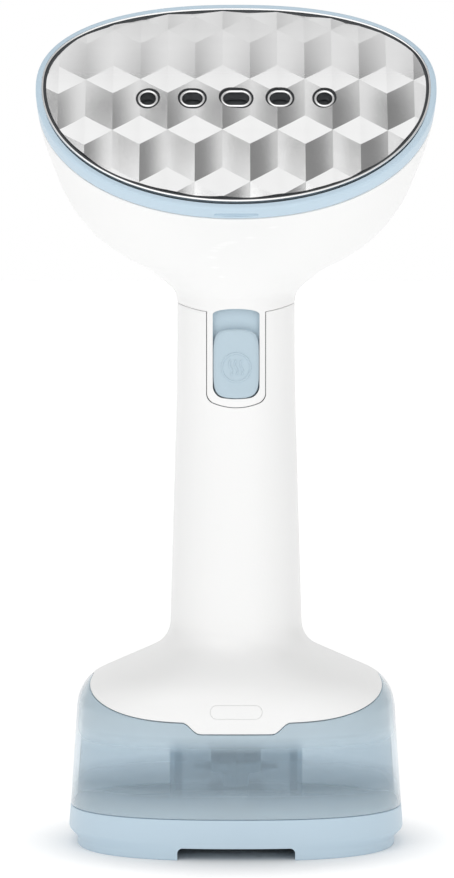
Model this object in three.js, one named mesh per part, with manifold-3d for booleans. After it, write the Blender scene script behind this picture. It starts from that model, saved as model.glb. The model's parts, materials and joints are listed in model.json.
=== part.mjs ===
// Handheld garment steamer, standing upright on its water tank.
// Millimetres, +Z up, front towards -Y, origin at the middle of the base's underside.
import * as THREE from 'three';
import { mergeVertices } from 'three/addons/utils/BufferGeometryUtils.js';
import Module from 'manifold-3d';

const wasm = await Module();
wasm.setup();

// ---------------------------------------------------------------- driving dimensions

const GAP = 0.3;                 // clearance between neighbouring pieces
const WALL = 2.2;                // moulded shell thickness
const AROUND = 36;               // segments round a full section

// Plan size of the body at a height: [half size, height], with a rounding length at each corner.
const WIDTH_PROFILE = [[60.0, 0, 0], [56.1, 58.2, 9.5], [23.6, 72.6, 7], [20.8, 168, 18], [20.8, 200, 0]];
const DEPTH_PROFILE = [[45.9, 0, 0], [42.4, 58.2, 9.5], [25.2, 72.6, 7], [22.6, 168, 18], [22.6, 200, 0]];
const TANK_SQUARENESS = 2.5;     // superellipse exponent of the tank's plan
const HANDLE_SQUARENESS = 2.2;

const CAP_SEAM = 14.2;           // base cap to tank seam
const CAP_STEP = 6.6;            // height where the cap's sides start to step in
const CAP_FOOT_HALF_WIDTH = 56.2;
const SPLIT_FRONT = 47.7;        // tank to skirt seam, at the front
const SPLIT_RISE = 12.3;         // how much higher that seam is at the sides
const TONGUE = { half: 18.5, halfLow: 12.5, drop: 3.9 };
const HEAD_SEAM_SIDE = 192.4;    // handle to head seam, at the sides
const HEAD_SEAM_DIP = 3.2;       // how much lower it is at the front

const TILT = THREE.MathUtils.degToRad(38);  // the steam plate's normal above the horizontal
const PLATE_CENTRE = new THREE.Vector3(0, -15, 269);
const PLATE = { half: 67.7, up: 34.3, down: 50.6, sheet: 1.6 };
const RING = { half: 70.3, up: 37.0, down: 54.2 };
const UPPER_SQUARENESS = 2.3;    // the head's outline is fuller above its widest row than below it
const LOWER_SQUARENESS = 2.05;
const RING_END = 0.075;          // how far back along the bowl the trim ring reaches
const RING_FRONT_EXTRA = 0.042;  // and how much further at the front
const SLOT_ROW = -6.3;           // the steam slots' row in the plate
const SLOTS = [[-30.8, 8.4], [-15.3, 10.1], [0, 12.1], [15.3, 10.1], [30.8, 8.4]]; // [x, outer width]
const SLOT_HEIGHT = 8.6;

const TRIGGER = { half: 8, low: 159.6, high: 184.0, arch: 3, back: 20.4, proud: 1.1 };
const PANEL = { half: 10.3, low: 156.4 };
const WELL = { half: 23.5, halfDepth: 15, floor: 18, wall: 1.8 };
const DECK = { low: 41.4, high: 43.2 };
const FILL = { height: 31, hole: 7.4, plug: 6.2, hingeY: 46.8, hingeZ: 19.6, pin: 0.7 };
const RELEASE = { half: 9, halfHeight: 2.3, height: 51.6 };
const GLAND_Z = 92;              // the cord's gland, on the rear
const SCREW_Z = 146;             // the screw that holds the handle's halves together

// ---------------------------------------------------------------- materials

const paint = (colour, roughness, metalness = 0) =>
  new THREE.MeshStandardMaterial({ color: colour, roughness, metalness });
const WHITE = paint(0xf2f2f0, 0.4);
const BLUE = paint(0xaec6d6, 0.4);
const TINT = paint(0x9db8c9, 0.15);
const STEEL = paint(0xb9bbbd, 0.25, 1);
const CHROME = paint(0xd9dadb, 0.12, 1);
const ALLOY = paint(0xa8a9aa, 0.5, 1);
const RUBBER = paint(0x3a3d40, 0.8);
const SILICONE = paint(0xc9cfd2, 0.7);
const GREY = paint(0x8c949a, 0.5);
const BOARD = paint(0x2f6b47, 0.5);
const COPPER = paint(0xa8673a, 0.4, 1);

// ---------------------------------------------------------------- solids and booleans

function toManifold(geometry) {
  const bare = geometry.clone();
  bare.deleteAttribute('normal');
  bare.deleteAttribute('uv');
  const merged = mergeVertices(bare, 1e-4);
  const vertProperties = new Float32Array(merged.attributes.position.array);
  const triVerts = new Uint32Array(merged.index.array);
  return new wasm.Manifold(new wasm.Mesh({ numProp: 3, vertProperties, triVerts }));
}

function fromManifold(solid) {
  const mesh = solid.getMesh();
  const geometry = new THREE.BufferGeometry();
  geometry.setAttribute('position', new THREE.BufferAttribute(new Float32Array(mesh.vertProperties), 3));
  geometry.setIndex(new THREE.BufferAttribute(new Uint32Array(mesh.triVerts), 1));
  return geometry;
}

function cut(base, ...tools) {
  let solid = toManifold(base);
  for (const tool of tools) solid = solid.subtract(toManifold(tool));
  return fromManifold(solid);
}

function join(base, ...others) {
  let solid = toManifold(base);
  for (const other of others) solid = solid.add(toManifold(other));
  return fromManifold(solid);
}

function common(a, b) {
  return fromManifold(toManifold(a).intersect(toManifold(b)));
}

// A box given by its lowest and highest corners.
function box(low, high) {
  const size = high.map((value, i) => value - low[i]);
  const geometry = new THREE.BoxGeometry(...size);
  return geometry.translate(...low.map((value, i) => value + size[i] / 2));
}

// A turned piece along +Z from [radius, height] points.
function turned(points, segments = 20) {
  const profile = points.map(([r, z]) => new THREE.Vector2(r, z));
  return new THREE.LatheGeometry(profile, segments).rotateX(Math.PI / 2);
}

// A plain disc or a tube along +Z.
function rod(radius, low, high, segments = 20) {
  return turned([[0, low], [radius, low], [radius, high], [0, high]], segments);
}

function tube(outer, inner, low, high, segments = 20) {
  return turned([[inner, low], [outer, low], [outer, high], [inner, high], [inner, low]], segments);
}

// Turns a piece drawn along +Z so that it runs from front to rear.
const ALONG_FRONT = (geometry) => geometry.rotateX(-Math.PI / 2);

function spring(radius, wire, length, turns) {
  const coil = new THREE.Curve();
  coil.getPoint = (t, target = new THREE.Vector3()) => {
    const angle = t * turns * Math.PI * 2;
    return target.set(radius * Math.cos(angle), radius * Math.sin(angle), wire + t * (length - 2 * wire));
  };
  return pipe(coil, wire, 0, turns * 7, 4);
}

// A wire, or a hose when it has a bore, along a curve.
function pipe(curve, radius, bore, steps, sides = 8) {
  const circle = (r) => Array.from({ length: sides }, (_, i) => {
    const angle = (i / sides) * Math.PI * 2;
    return new THREE.Vector2(r * Math.cos(angle), r * Math.sin(angle));
  });
  const shape = new THREE.Shape(circle(radius));
  if (bore > 0) shape.holes.push(new THREE.Path(circle(bore).reverse()));
  return new THREE.ExtrudeGeometry(shape, { steps, extrudePath: curve, bevelEnabled: false });
}

// ---------------------------------------------------------------- outer surfaces

// Samples of a polyline whose corners are rounded, as [size, height] pairs of rising height.
function roundedProfile(corners) {
  const path = new THREE.Path();
  path.moveTo(corners[0][0], corners[0][1]);
  corners.slice(1, -1).forEach(([x, z, reach], i) => {
    const corner = new THREE.Vector2(x, z);
    const before = new THREE.Vector2(...corners[i].slice(0, 2)).sub(corner).setLength(reach).add(corner);
    const after = new THREE.Vector2(...corners[i + 2].slice(0, 2)).sub(corner).setLength(reach).add(corner);
    path.lineTo(before.x, before.y);
    path.quadraticCurveTo(x, z, after.x, after.y);
  });
  const last = corners[corners.length - 1];
  path.lineTo(last[0], last[1]);
  return path.getPoints(16);
}

function sizeAt(samples, z) {
  const above = Math.max(1, samples.findIndex((point) => point.y >= z));
  const low = samples[above - 1];
  const high = samples[above];
  return THREE.MathUtils.mapLinear(z, low.y, high.y, low.x, high.x);
}

const widths = roundedProfile(WIDTH_PROFILE);
const depths = roundedProfile(DEPTH_PROFILE);
const halfWidth = (z) => sizeAt(widths, z);
const halfDepth = (z) => sizeAt(depths, z);
const squareness = (z) =>
  THREE.MathUtils.lerp(TANK_SQUARENESS, HANDLE_SQUARENESS, THREE.MathUtils.smoothstep(z, 50, 80));

const power = (value, exponent) => Math.sign(value) * Math.abs(value) ** exponent;

// A point of the body's outer surface. Angle 0 is +X, 90 degrees is the rear.
function bodyPoint(angle, z, inset = 0) {
  const e = 2 / squareness(z);
  const x = (halfWidth(z) - inset) * power(Math.cos(angle), e);
  const y = (halfDepth(z) - inset) * power(Math.sin(angle), e);
  return new THREE.Vector3(x, y, z);
}

// The outward normal of the same surface.
function bodyNormal(angle, z) {
  const turn = 0.02;
  const rise = 0.2;
  const along = bodyPoint(angle + turn, z).sub(bodyPoint(angle - turn, z));
  const up = bodyPoint(angle, z + rise).sub(bodyPoint(angle, z - rise));
  return along.cross(up).normalize();
}

// 0 at the front and the rear, 1 at the sides.
function sideways(angle) {
  const x = 56 * power(Math.cos(angle), 2 / TANK_SQUARENESS);
  const y = 43 * power(Math.sin(angle), 2 / TANK_SQUARENESS);
  return Math.abs(x) / Math.hypot(x, y);
}

function splitHeight(angle) {
  const seam = SPLIT_FRONT + SPLIT_RISE * sideways(angle) ** 6;
  const x = Math.abs(56 * power(Math.cos(angle), 2 / TANK_SQUARENESS));
  const tongue = Math.sin(angle) < 0 ? 1 - THREE.MathUtils.smoothstep(x, TONGUE.halfLow, TONGUE.half) : 0;
  return seam - TONGUE.drop * tongue;
}

const headSeam = (angle) => HEAD_SEAM_SIDE - HEAD_SEAM_DIP * Math.max(0, -Math.sin(angle)) ** 2;

// Rows of points between two heights that depend on the angle.
function bodyRows(angles, lowAt, highAt, shares) {
  return shares.map((share) => angles.map((angle) => {
    const z = THREE.MathUtils.lerp(lowAt(angle), highAt(angle), share);
    return bodyPoint(angle, z);
  }));
}

const fullTurn = (count = AROUND) => Array.from({ length: count }, (_, i) => (i / count) * Math.PI * 2);
const halfTurn = (start, count = AROUND / 2) =>
  Array.from({ length: count + 1 }, (_, i) => start + (i / count) * Math.PI);

// Outward normal of a grid of points at one of them.
function gridNormal(rows, r, c, closed) {
  const last = rows[0].length - 1;
  const left = rows[r][closed ? (c + last) % (last + 1) : Math.max(0, c - 1)];
  const right = rows[r][closed ? (c + 1) % (last + 1) : Math.min(last, c + 1)];
  const below = rows[Math.max(0, r - 1)][c];
  const above = rows[Math.min(rows.length - 1, r + 1)][c];
  const along = new THREE.Vector3().subVectors(right, left);
  const up = new THREE.Vector3().subVectors(above, below);
  return along.cross(up).normalize();
}

// A wall of even thickness behind a grid of outer points. Rows rise, columns run anticlockwise.
// Where angles are given the grid lies on the body's surface, which knows its own normals.
function wall(rows, thickness, closed, angles) {
  const count = rows[0].length;
  const inner = rows.map((row, r) => row.map((point, c) => {
    const normal = angles ? bodyNormal(angles[c], point.z) : gridNormal(rows, r, c, closed);
    if (!closed && (c === 0 || c === count - 1)) normal.y = 0;
    return point.clone().addScaledVector(normal.normalize(), -thickness);
  }));
  const points = [...rows.flat(), ...inner.flat()];
  const offset = rows.length * count;
  const index = [];
  const quad = (a, b, c, d) => index.push(a, b, c, a, c, d);
  const columns = closed ? count : count - 1;
  for (let c = 0; c < columns; c += 1) {
    const next = (c + 1) % count;
    for (let r = 0; r < rows.length - 1; r += 1) {
      const low = r * count;
      const high = low + count;
      quad(low + c, low + next, high + next, high + c);
      quad(offset + low + next, offset + low + c, offset + high + c, offset + high + next);
    }
    const top = (rows.length - 1) * count;
    quad(offset + c, offset + next, next, c);
    quad(top + c, top + next, offset + top + next, offset + top + c);
  }
  for (let r = 0; r < rows.length - 1 && !closed; r += 1) {
    const low = r * count;
    const high = low + count;
    quad(low, high, offset + high, offset + low);
    quad(high + count - 1, low + count - 1, offset + low + count - 1, offset + high + count - 1);
  }
  return indexed(points, index);
}

// A solid through closed rows of points, with a flat cap at each end.
function loft(rows) {
  const count = rows[0].length;
  const centre = (row) => row.reduce((sum, p) => sum.add(p), new THREE.Vector3()).divideScalar(count);
  const points = [...rows.flat(), centre(rows[0]), centre(rows[rows.length - 1])];
  const bottom = points.length - 2;
  const top = points.length - 1;
  const index = [];
  for (let c = 0; c < count; c += 1) {
    const next = (c + 1) % count;
    for (let r = 0; r < rows.length - 1; r += 1) {
      const low = r * count;
      const high = low + count;
      index.push(low + c, low + next, high + next, low + c, high + next, high + c);
    }
    const last = (rows.length - 1) * count;
    index.push(bottom, next, c, top, last + c, last + next);
  }
  return indexed(points, index);
}

function indexed(points, index) {
  const geometry = new THREE.BufferGeometry().setFromPoints(points);
  geometry.setIndex(index);
  return geometry;
}

// A superellipse section at a height.
function section(a, b, exponent, z, count = AROUND) {
  return fullTurn(count).map((angle) => new THREE.Vector3(
    a * power(Math.cos(angle), 2 / exponent), b * power(Math.sin(angle), 2 / exponent), z));
}

// ---------------------------------------------------------------- the tilted plate's own frame

const RIGHT = new THREE.Vector3(1, 0, 0);
const UP_PLATE = new THREE.Vector3(0, Math.sin(TILT), Math.cos(TILT));
const OUTWARD = new THREE.Vector3(0, -Math.cos(TILT), Math.sin(TILT));

// A piece drawn with X right, Y up the plate and Z out of it.
function onPlate(geometry) {
  const basis = new THREE.Matrix4().makeBasis(RIGHT, UP_PLATE, OUTWARD).setPosition(PLATE_CENTRE);
  return geometry.applyMatrix4(basis);
}

const headSquareness = (angle) => (Math.sin(angle) > 0 ? UPPER_SQUARENESS : LOWER_SQUARENESS);

// The head's outline: two half superellipses that meet at the widest row.
function outline(half, up, down, count = AROUND) {
  return fullTurn(count).map((angle) => {
    const e = 2 / headSquareness(angle);
    const reach = Math.sin(angle) > 0 ? up : down;
    return new THREE.Vector2(half * power(Math.cos(angle), e), reach * power(Math.sin(angle), e));
  });
}

const plateOutline = (inset) => outline(PLATE.half - inset, PLATE.up - inset, PLATE.down - inset);

// A plate cut to an outline, between two depths.
function slab(points, low, high, holes = []) {
  const shape = new THREE.Shape(points);
  shape.holes = holes.map((hole) => new THREE.Path(hole));
  return new THREE.ExtrudeGeometry(shape, { depth: high - low, bevelEnabled: false }).translate(0, 0, low);
}

function stadium(x, y, width, height, segments = 3) {
  const radius = Math.min(width, height) / 2;
  const reach = (width - 2 * radius) / 2;
  const rise = (height - 2 * radius) / 2;
  const points = [];
  [[1, 1, 0], [-1, 1, 1], [-1, -1, 2], [1, -1, 3]].forEach(([sx, sy, quarter]) => {
    for (let i = 0; i <= segments; i += 1) {
      const angle = (quarter + i / segments) * Math.PI / 2;
      points.push(new THREE.Vector2(
        x + sx * reach + radius * Math.cos(angle), y + sy * rise + radius * Math.sin(angle)));
    }
  });
  return points.filter((p, i) => p.distanceTo(points[(i + 1) % points.length]) > 1e-3);
}

// ---------------------------------------------------------------- the head's bowl

const ringPoint = (v) => PLATE_CENTRE.clone().addScaledVector(UP_PLATE, v);
const backFrom = (point, depth) => point.clone().addScaledVector(OUTWARD, -depth);
const bezier = (a, b, c, d) => new THREE.CubicBezierCurve3(a, b, c, d);
const ringTop = ringPoint(RING.up);
const ringBottom = ringPoint(-RING.down);
const HANDLE_TOP = 194.5;
const rearLine = bezier(ringTop, backFrom(ringTop, 44), new THREE.Vector3(0, 27, 226),
  new THREE.Vector3(0, halfDepth(HANDLE_TOP), HANDLE_TOP));
const frontLine = bezier(ringBottom, backFrom(ringBottom, 17), new THREE.Vector3(0, -25, 206),
  new THREE.Vector3(0, -halfDepth(HANDLE_TOP), HANDLE_TOP));
// The bowl's half width against the height of its widest row, as a rounded polyline.
const BOWL_PROFILE = [[20.8, 190, 0], [21.2, 196.5, 3], [32.3, 207.1, 5.2], [56.1, 220.1, 21.9],
  [70.3, 261.3, 10.6], [70.3, 285, 0]];
const bowlWidths = roundedProfile(BOWL_PROFILE);

// A point of the bowl: t is 0 at the ring's face and 1 at the handle.
function bowlPoint(t, angle) {
  const front = frontLine.getPoint(t);
  const span = rearLine.getPoint(t).sub(front);
  const length = span.length();
  span.normalize();
  const share = THREE.MathUtils.lerp(RING.down / (RING.down + RING.up), 0.5, t ** 0.7);
  const middle = front.addScaledVector(span, length * share);
  const half = sizeAt(bowlWidths, middle.z);
  const e = 2 / THREE.MathUtils.lerp(headSquareness(angle), HANDLE_SQUARENESS, t);
  const reach = length * (Math.sin(angle) > 0 ? 1 - share : share);
  return middle.addScaledVector(RIGHT, half * power(Math.cos(angle), e))
    .addScaledVector(span, reach * power(Math.sin(angle), e));
}

// Where the trim ring ends, which is further back at the front.
const ringEnd = (angle) => RING_END + RING_FRONT_EXTRA * Math.max(0, -Math.sin(angle)) ** 2;

// ---------------------------------------------------------------- the model

const steamer = new THREE.Group();
steamer.name = 'handheld_steamer';

function add(name, geometry, material) {
  geometry.computeVertexNormals();
  const mesh = new THREE.Mesh(geometry, material);
  mesh.name = name;
  steamer.add(mesh);
}

// ---------------------------------------------------------------- head

function steamPlate() {
  const holes = SLOTS.map(([x, width]) => stadium(x, SLOT_ROW, width - 0.6, SLOT_HEIGHT - 0.6));
  return slab(plateOutline(1.3), -PLATE.sheet, 0, holes);
}

function steamNozzle(x, width) {
  const outer = stadium(x, SLOT_ROW, width - 1.2, SLOT_HEIGHT - 1.2);
  const inner = stadium(x, SLOT_ROW, width - 3, SLOT_HEIGHT - 3);
  const rim = stadium(x, SLOT_ROW, width, SLOT_HEIGHT);
  const neck = slab(outer, -PLATE.sheet - 2, 0.31);
  const lip = slab(rim, 0.3, 0.9);
  return cut(join(neck, lip), slab(inner, -PLATE.sheet - 3, 2));
}

function trimRing() {
  const angles = fullTurn();
  const rows = [ringEnd, () => 0].map((depthAt) => angles.map((angle) => bowlPoint(depthAt(angle), angle)));
  const solid = loft(rows);
  const hole = onPlate(slab(outline(PLATE.half + 0.5, PLATE.up + 0.5, PLATE.down + 0.5), -30, 20));
  return cut(solid, hole);
}

add('steam_plate', onPlate(steamPlate()), STEEL);
add('plate_seal', onPlate(slab(outline(PLATE.half + 0.2, PLATE.up + 0.2, PLATE.down + 0.2), -2.4, -0.4,
  [plateOutline(1).reverse()])), RUBBER);
SLOTS.forEach(([x, width], i) => add(`steam_nozzle_${i + 1}`, onPlate(steamNozzle(x, width)), CHROME));
add('trim_ring', trimRing(), BLUE);

function headShell() {
  const angles = fullTurn();
  const steps = [0, 0.1, 0.2, 0.32, 0.43, 0.53, 0.63, 0.73, 0.83, 0.92, 1];
  const rows = steps.map((share) => angles.map((angle) => {
    const start = ringEnd(angle) + 0.006;
    return bowlPoint(start + (1 - start) * share, angle);
  }));
  rows.push(angles.map((angle) => bodyPoint(angle, headSeam(angle) + GAP / 2)));
  return wall(rows.reverse(), WALL, true);
}
add('head_shell', headShell(), WHITE);

// The steam generator stands behind the plate, in the plate's own frame.
const chamber = (inset) => outline(50 - inset, 24 - inset, 33 - inset, 36);
add('boiler_gasket', onPlate(slab(chamber(0), -5.2, -2.2 - GAP, [chamber(3).reverse()])), SILICONE);
add('boiler_block', onPlate(slab(chamber(1), -19, -5.2 - GAP)), ALLOY);

function elementPath() {
  const path = new THREE.CurvePath();
  const low = -16;
  const high = 8;
  const z = -22.6;
  const point = (x, y) => new THREE.Vector3(x, y, z);
  path.add(new THREE.LineCurve3(point(-24, high), point(-24, low + 8)));
  path.add(new THREE.QuadraticBezierCurve3(point(-24, low + 8), point(-24, low), point(-16, low)));
  path.add(new THREE.LineCurve3(point(-16, low), point(16, low)));
  path.add(new THREE.QuadraticBezierCurve3(point(16, low), point(24, low), point(24, low + 8)));
  path.add(new THREE.LineCurve3(point(24, low + 8), point(24, high)));
  return path;
}
add('heating_element', onPlate(pipe(elementPath(), 3, 0, 20, 8)), ALLOY);
add('thermostat', onPlate(rod(7.5, -26, -19 - GAP, 18)), GREY);
add('thermal_fuse', onPlate(new THREE.CylinderGeometry(2, 2, 12, 10).rotateZ(Math.PI / 2)
  .translate(0, 14, -21.4)), SILICONE);
const bracketBar = slab(stadium(0, 0, 62, 10), -30, -27.6);
const bracketFoot = (x) => slab(stadium(x, 0, 8, 8), -27.7, -19 - GAP);
add('boiler_bracket', onPlate(cut(join(bracketBar, bracketFoot(-12.5), bracketFoot(12.5)),
  rod(1.9, -40, -19, 12).translate(-12.5, 0, 0), rod(1.9, -40, -19, 12).translate(12.5, 0, 0))), GREY);
const bracketScrew = (x) => turned(
  [[0, -32], [3, -32], [3, -30 - GAP], [1.5, -30 - GAP], [1.5, -19.6], [0, -19.6]], 12).translate(x, 0, 0);
add('bracket_screw_left', onPlate(bracketScrew(-12.5)), STEEL);
add('bracket_screw_right', onPlate(bracketScrew(12.5)), STEEL);

// ---------------------------------------------------------------- handle shells

const HANDLE_ROWS = [0, 0.035, 0.07, 0.1, 0.13, 0.16, 0.19, 0.23, 0.29, 0.5, 0.75, 1];

function handleHalf(start) {
  const side = Math.sin(start + 0.1) > 0 ? 1 : -1;
  const angles = halfTurn(start);
  const rows = bodyRows(angles, (a) => splitHeight(a) + GAP / 2, (a) => headSeam(a) - GAP / 2, HANDLE_ROWS);
  rows.forEach((row) => [row[0], row[row.length - 1]].forEach((point) => point.setY(side * GAP / 2)));
  return wall(rows, WALL, false, angles);
}

const frontOpening = (half, low, high, near, far) =>
  slab(stadiumPanel(half, low, high), near, far).rotateX(Math.PI / 2);

// A tall opening with round lower corners, drawn in X and height.
function stadiumPanel(half, low, high, radius = 3) {
  const points = [new THREE.Vector2(half, high), new THREE.Vector2(-half, high)];
  for (let i = 0; i <= 4; i += 1) {
    const angle = Math.PI + (i / 4) * Math.PI / 2;
    points.push(new THREE.Vector2(
      -half + radius + radius * Math.cos(angle), low + radius + radius * Math.sin(angle)));
  }
  for (let i = 0; i <= 4; i += 1) {
    const angle = 1.5 * Math.PI + (i / 4) * Math.PI / 2;
    points.push(new THREE.Vector2(
      half - radius + radius * Math.cos(angle), low + radius + radius * Math.sin(angle)));
  }
  return points;
}

function releaseOpening(extra) {
  return slab(stadium(0, RELEASE.height, 2 * (RELEASE.half + extra), 2 * (RELEASE.halfHeight + extra)), 30, 60)
    .rotateX(Math.PI / 2);
}

add('handle_front_shell', cut(handleHalf(Math.PI),
  frontOpening(PANEL.half + GAP, PANEL.low - GAP, 210, 5, 40), releaseOpening(GAP)), WHITE);

const screwBoss = ALONG_FRONT(rod(3.6, 12, 21.5, 14)).translate(0, 0, SCREW_Z);
const screwHole = ALONG_FRONT(join(rod(1.9, 0, 30, 12), rod(3.4, 17, 30, 12))).translate(0, 0, SCREW_Z);
add('handle_rear_shell', cut(join(handleHalf(0), screwBoss), screwHole,
  ALONG_FRONT(rod(6.3, 10, 40, 16)).translate(0, 0, GLAND_Z)), WHITE);
add('handle_screw', ALONG_FRONT(turned(
  [[0, 8], [1.5, 8], [1.5, 17.3], [3, 17.3], [3, 19.3], [0, 19.3]], 12)).translate(0, 0, SCREW_Z), STEEL);
add('cord_gland', ALONG_FRONT(turned([[3.6, 18], [5.9, 18], [5.9, 25.6], [8, 25.6], [8, 27], [6.6, 30],
  [3.6, 30], [3.6, 18]], 18)).translate(0, 0, GLAND_Z), RUBBER);

// ---------------------------------------------------------------- trigger

// The front of the body between two insets from its outer surface.
function frontSkin(outset, inset, low, high) {
  const angles = fullTurn();
  const heights = Array.from({ length: 9 }, (_, i) => THREE.MathUtils.lerp(low, high, i / 8));
  const shift = (amount) => heights.map((z) => angles.map((angle) => bodyPoint(angle, z, amount)));
  return cut(loft(shift(-outset)), loft(shift(inset).map((row, i) =>
    row.map((p) => p.clone().setZ(p.z + (i === 0 ? -1 : i === 8 ? 1 : 0))))));
}

const panelWindow = stadiumPanel(TRIGGER.half + GAP, TRIGGER.low - GAP, 210, 3.2);
const panelTop = HEAD_SEAM_SIDE - HEAD_SEAM_DIP - GAP;
add('trigger_panel', cut(common(frontSkin(0, 2, 150, panelTop),
  frontOpening(PANEL.half, PANEL.low, 210, 5, 40)),
  slab(panelWindow, 5, 40).rotateX(Math.PI / 2)), WHITE);

const GUIDE = { near: 16.4, far: 17.9 };
const guideSlot = box([-3, -20, 162], [3, -10, 178]);
add('trigger_guide', cut(box([-8.6, -GUIDE.far, 154], [8.6, -GUIDE.near, 195]), guideSlot), BLUE);

function triggerButton() {
  const springing = TRIGGER.high - TRIGGER.arch;
  const face = stadiumPanel(TRIGGER.half, TRIGGER.low, springing).slice(2);
  for (let i = 0; i <= 8; i += 1) {
    const angle = (i / 8) * Math.PI;
    face.push(new THREE.Vector2(TRIGGER.half * Math.cos(angle), springing + TRIGGER.arch * Math.sin(angle)));
  }
  const body = common(frontSkin(TRIGGER.proud, 5, 150, 190),
    slab(face, TRIGGER.back, 40).rotateX(Math.PI / 2));
  const stem = box([-2.4, -TRIGGER.back - 0.6, 165], [2.4, -14.2, 170.5]);
  return join(body, stem);
}
add('trigger_button', triggerButton(), BLUE);
add('trigger_carrier', box([-7, -13.9, 160], [7, -12.1, 188]), GREY);
add('trigger_spring', ALONG_FRONT(spring(2.8, 0.4, 12.2, 5)).translate(0, -11.8, 183), STEEL);
add('trigger_frame', join(box([-13, 1, 156], [13, 2.8, 188]), box([-13, -9, 156], [-11.2, 1.1, 188]),
  box([11.2, -9, 156], [13, 1.1, 188])), GREY);
const SWITCH = { front: -9.3, plunger: 1.6, reach: 1.0 };
const plungerBore = ALONG_FRONT(rod(SWITCH.plunger + 0.25, -20, -5, 12)).translate(0, 0, 167);
add('micro_switch', cut(box([-3.2, SWITCH.front, 156], [3.2, 0.7, 176]), plungerBore), RUBBER);
add('switch_plunger', ALONG_FRONT(rod(SWITCH.plunger, -10.3, -6.4, 12)).translate(0, 0, 167), BLUE);

// ---------------------------------------------------------------- pump, hoses and board

const PUMP = { low: 92, high: 138, bore: 4.3 };
add('pump_body', turned([[1.2, 86], [3, 86], [3, PUMP.low], [6, PUMP.low], [6, PUMP.high], [3, PUMP.high],
  [3, 144], [1.2, 144], [1.2, 132], [PUMP.bore, 132], [PUMP.bore, 98], [1.2, 98], [1.2, 86]], 16), GREY);
add('pump_coil', cut(box([-13, -12, 101], [13, 12, 127]), rod(6 + GAP, 90, 140, 16)), COPPER);
add('pump_piston', rod(3.95, 110, 126, 14), STEEL);
add('pump_spring', spring(3, 0.4, 11.4, 5).translate(0, 0, 98.3), STEEL);
add('pump_mount_lower', tube(9.5, 6 + GAP, 94, 98, 16), RUBBER);
add('pump_mount_upper', tube(9.5, 6 + GAP, 131, 135, 16), RUBBER);
add('inlet_hose', pipe(new THREE.CatmullRomCurve3([[0, 0, 55.4], [0, 0, 63], [0, 2.5, 71], [0, 0, 79],
  [0, 0, 85.7]].map((p) => new THREE.Vector3(...p))), 2.8, 1.4, 7), SILICONE);
const boilerInlet = PLATE_CENTRE.clone().addScaledVector(UP_PLATE, -24);
add('outlet_hose', pipe(new THREE.CatmullRomCurve3([new THREE.Vector3(0, 0, 144.4),
  new THREE.Vector3(0, 0.4, 147), new THREE.Vector3(0, 5.6, 153), new THREE.Vector3(0, 9, 162),
  new THREE.Vector3(0, 10, 192), new THREE.Vector3(0, 8, 212), backFrom(boilerInlet, 27),
  backFrom(boilerInlet, 19.6)]), 2.8, 1.4, 14),
SILICONE);
add('control_board', box([-12, 14, 104], [12, 15.6, 138]), BOARD);

// ---------------------------------------------------------------- underside of the body

const spigot = (a, b, z) => section(a, b, 2.4, z, 36);
const spigotCup = cut(loft([spigot(44, 36.5, 46.4), spigot(44, 36.5, 53)]),
  loft([spigot(42, 34.5, 48.6), spigot(42, 34.5, 54)]));
const releaseSlot = box([-11, -45, 48.7], [11, -33, 60]);
add('base_plate', cut(spigotCup, releaseSlot, rod(3.3, 40, 60, 16),
  rod(2, 40, 60, 12).translate(-30, 0, 0), rod(2, 40, 60, 12).translate(30, 0, 0)), WHITE);
add('inlet_probe', turned([[1.4, 29], [2.6, 29], [3, 30], [3, 45.8], [6, 45.8], [6, 46.1], [3, 46.1],
  [3, 55.1], [1.4, 55.1], [1.4, 29]], 16), GREY);
add('probe_seal', new THREE.TorusGeometry(3.9, 0.6, 6, 16).translate(0, 0, 31.5), RUBBER);
[-1, 1].forEach((side) => add(side < 0 ? 'base_screw_left' : 'base_screw_right', turned(
  [[0, 44.7], [3, 44.7], [3, 46.1], [1.5, 46.1], [1.5, 56], [0, 56]], 12).translate(side * 30, 0, 0), STEEL));

// The release button lies flush in the skirt, and a spring holds it out.
function releaseButton() {
  const low = RELEASE.height - 4;
  const skin = common(frontSkin(0, 5, low, low + 8), releaseOpening(0));
  return join(skin, box([-2, -39, RELEASE.height - 1.6], [2, -34.4, RELEASE.height + 1.6]));
}
add('tank_release_button', releaseButton(), WHITE);
add('tank_release_spring', ALONG_FRONT(spring(1.3, 0.3, 8.4, 5)).translate(0, -34, RELEASE.height), STEEL);
add('release_spring_seat', box([-5, -25.3, 48.9], [5, -23.3, 54]), GREY);

// ---------------------------------------------------------------- tank

// A round piece along the fill door's hinge.
function hingeRod(radius, length) {
  return new THREE.CylinderGeometry(radius, radius, length, 12).rotateZ(Math.PI / 2)
    .translate(0, FILL.hingeY, FILL.hingeZ);
}

function tankShell() {
  const angles = fullTurn();
  const rows = bodyRows(angles, () => CAP_SEAM + GAP / 2, (a) => splitHeight(a) - GAP / 2,
    [0, 0.25, 0.5, 0.7, 0.8, 0.87, 0.94, 1]);
  const shell = wall(rows, WALL, true, angles);
  const lug = (x) => box([x - 1.5, 42, 17.5], [x + 1.5, 48.4, 21.7]);
  const fillHole = ALONG_FRONT(rod(FILL.hole, 30, 60, 20)).translate(0, 0, FILL.height);
  return cut(join(shell, lug(-13.6), lug(13.6)), fillHole, hingeRod(FILL.pin + 0.25, 40));
}
add('tank_shell', tankShell(), TINT);

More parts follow.
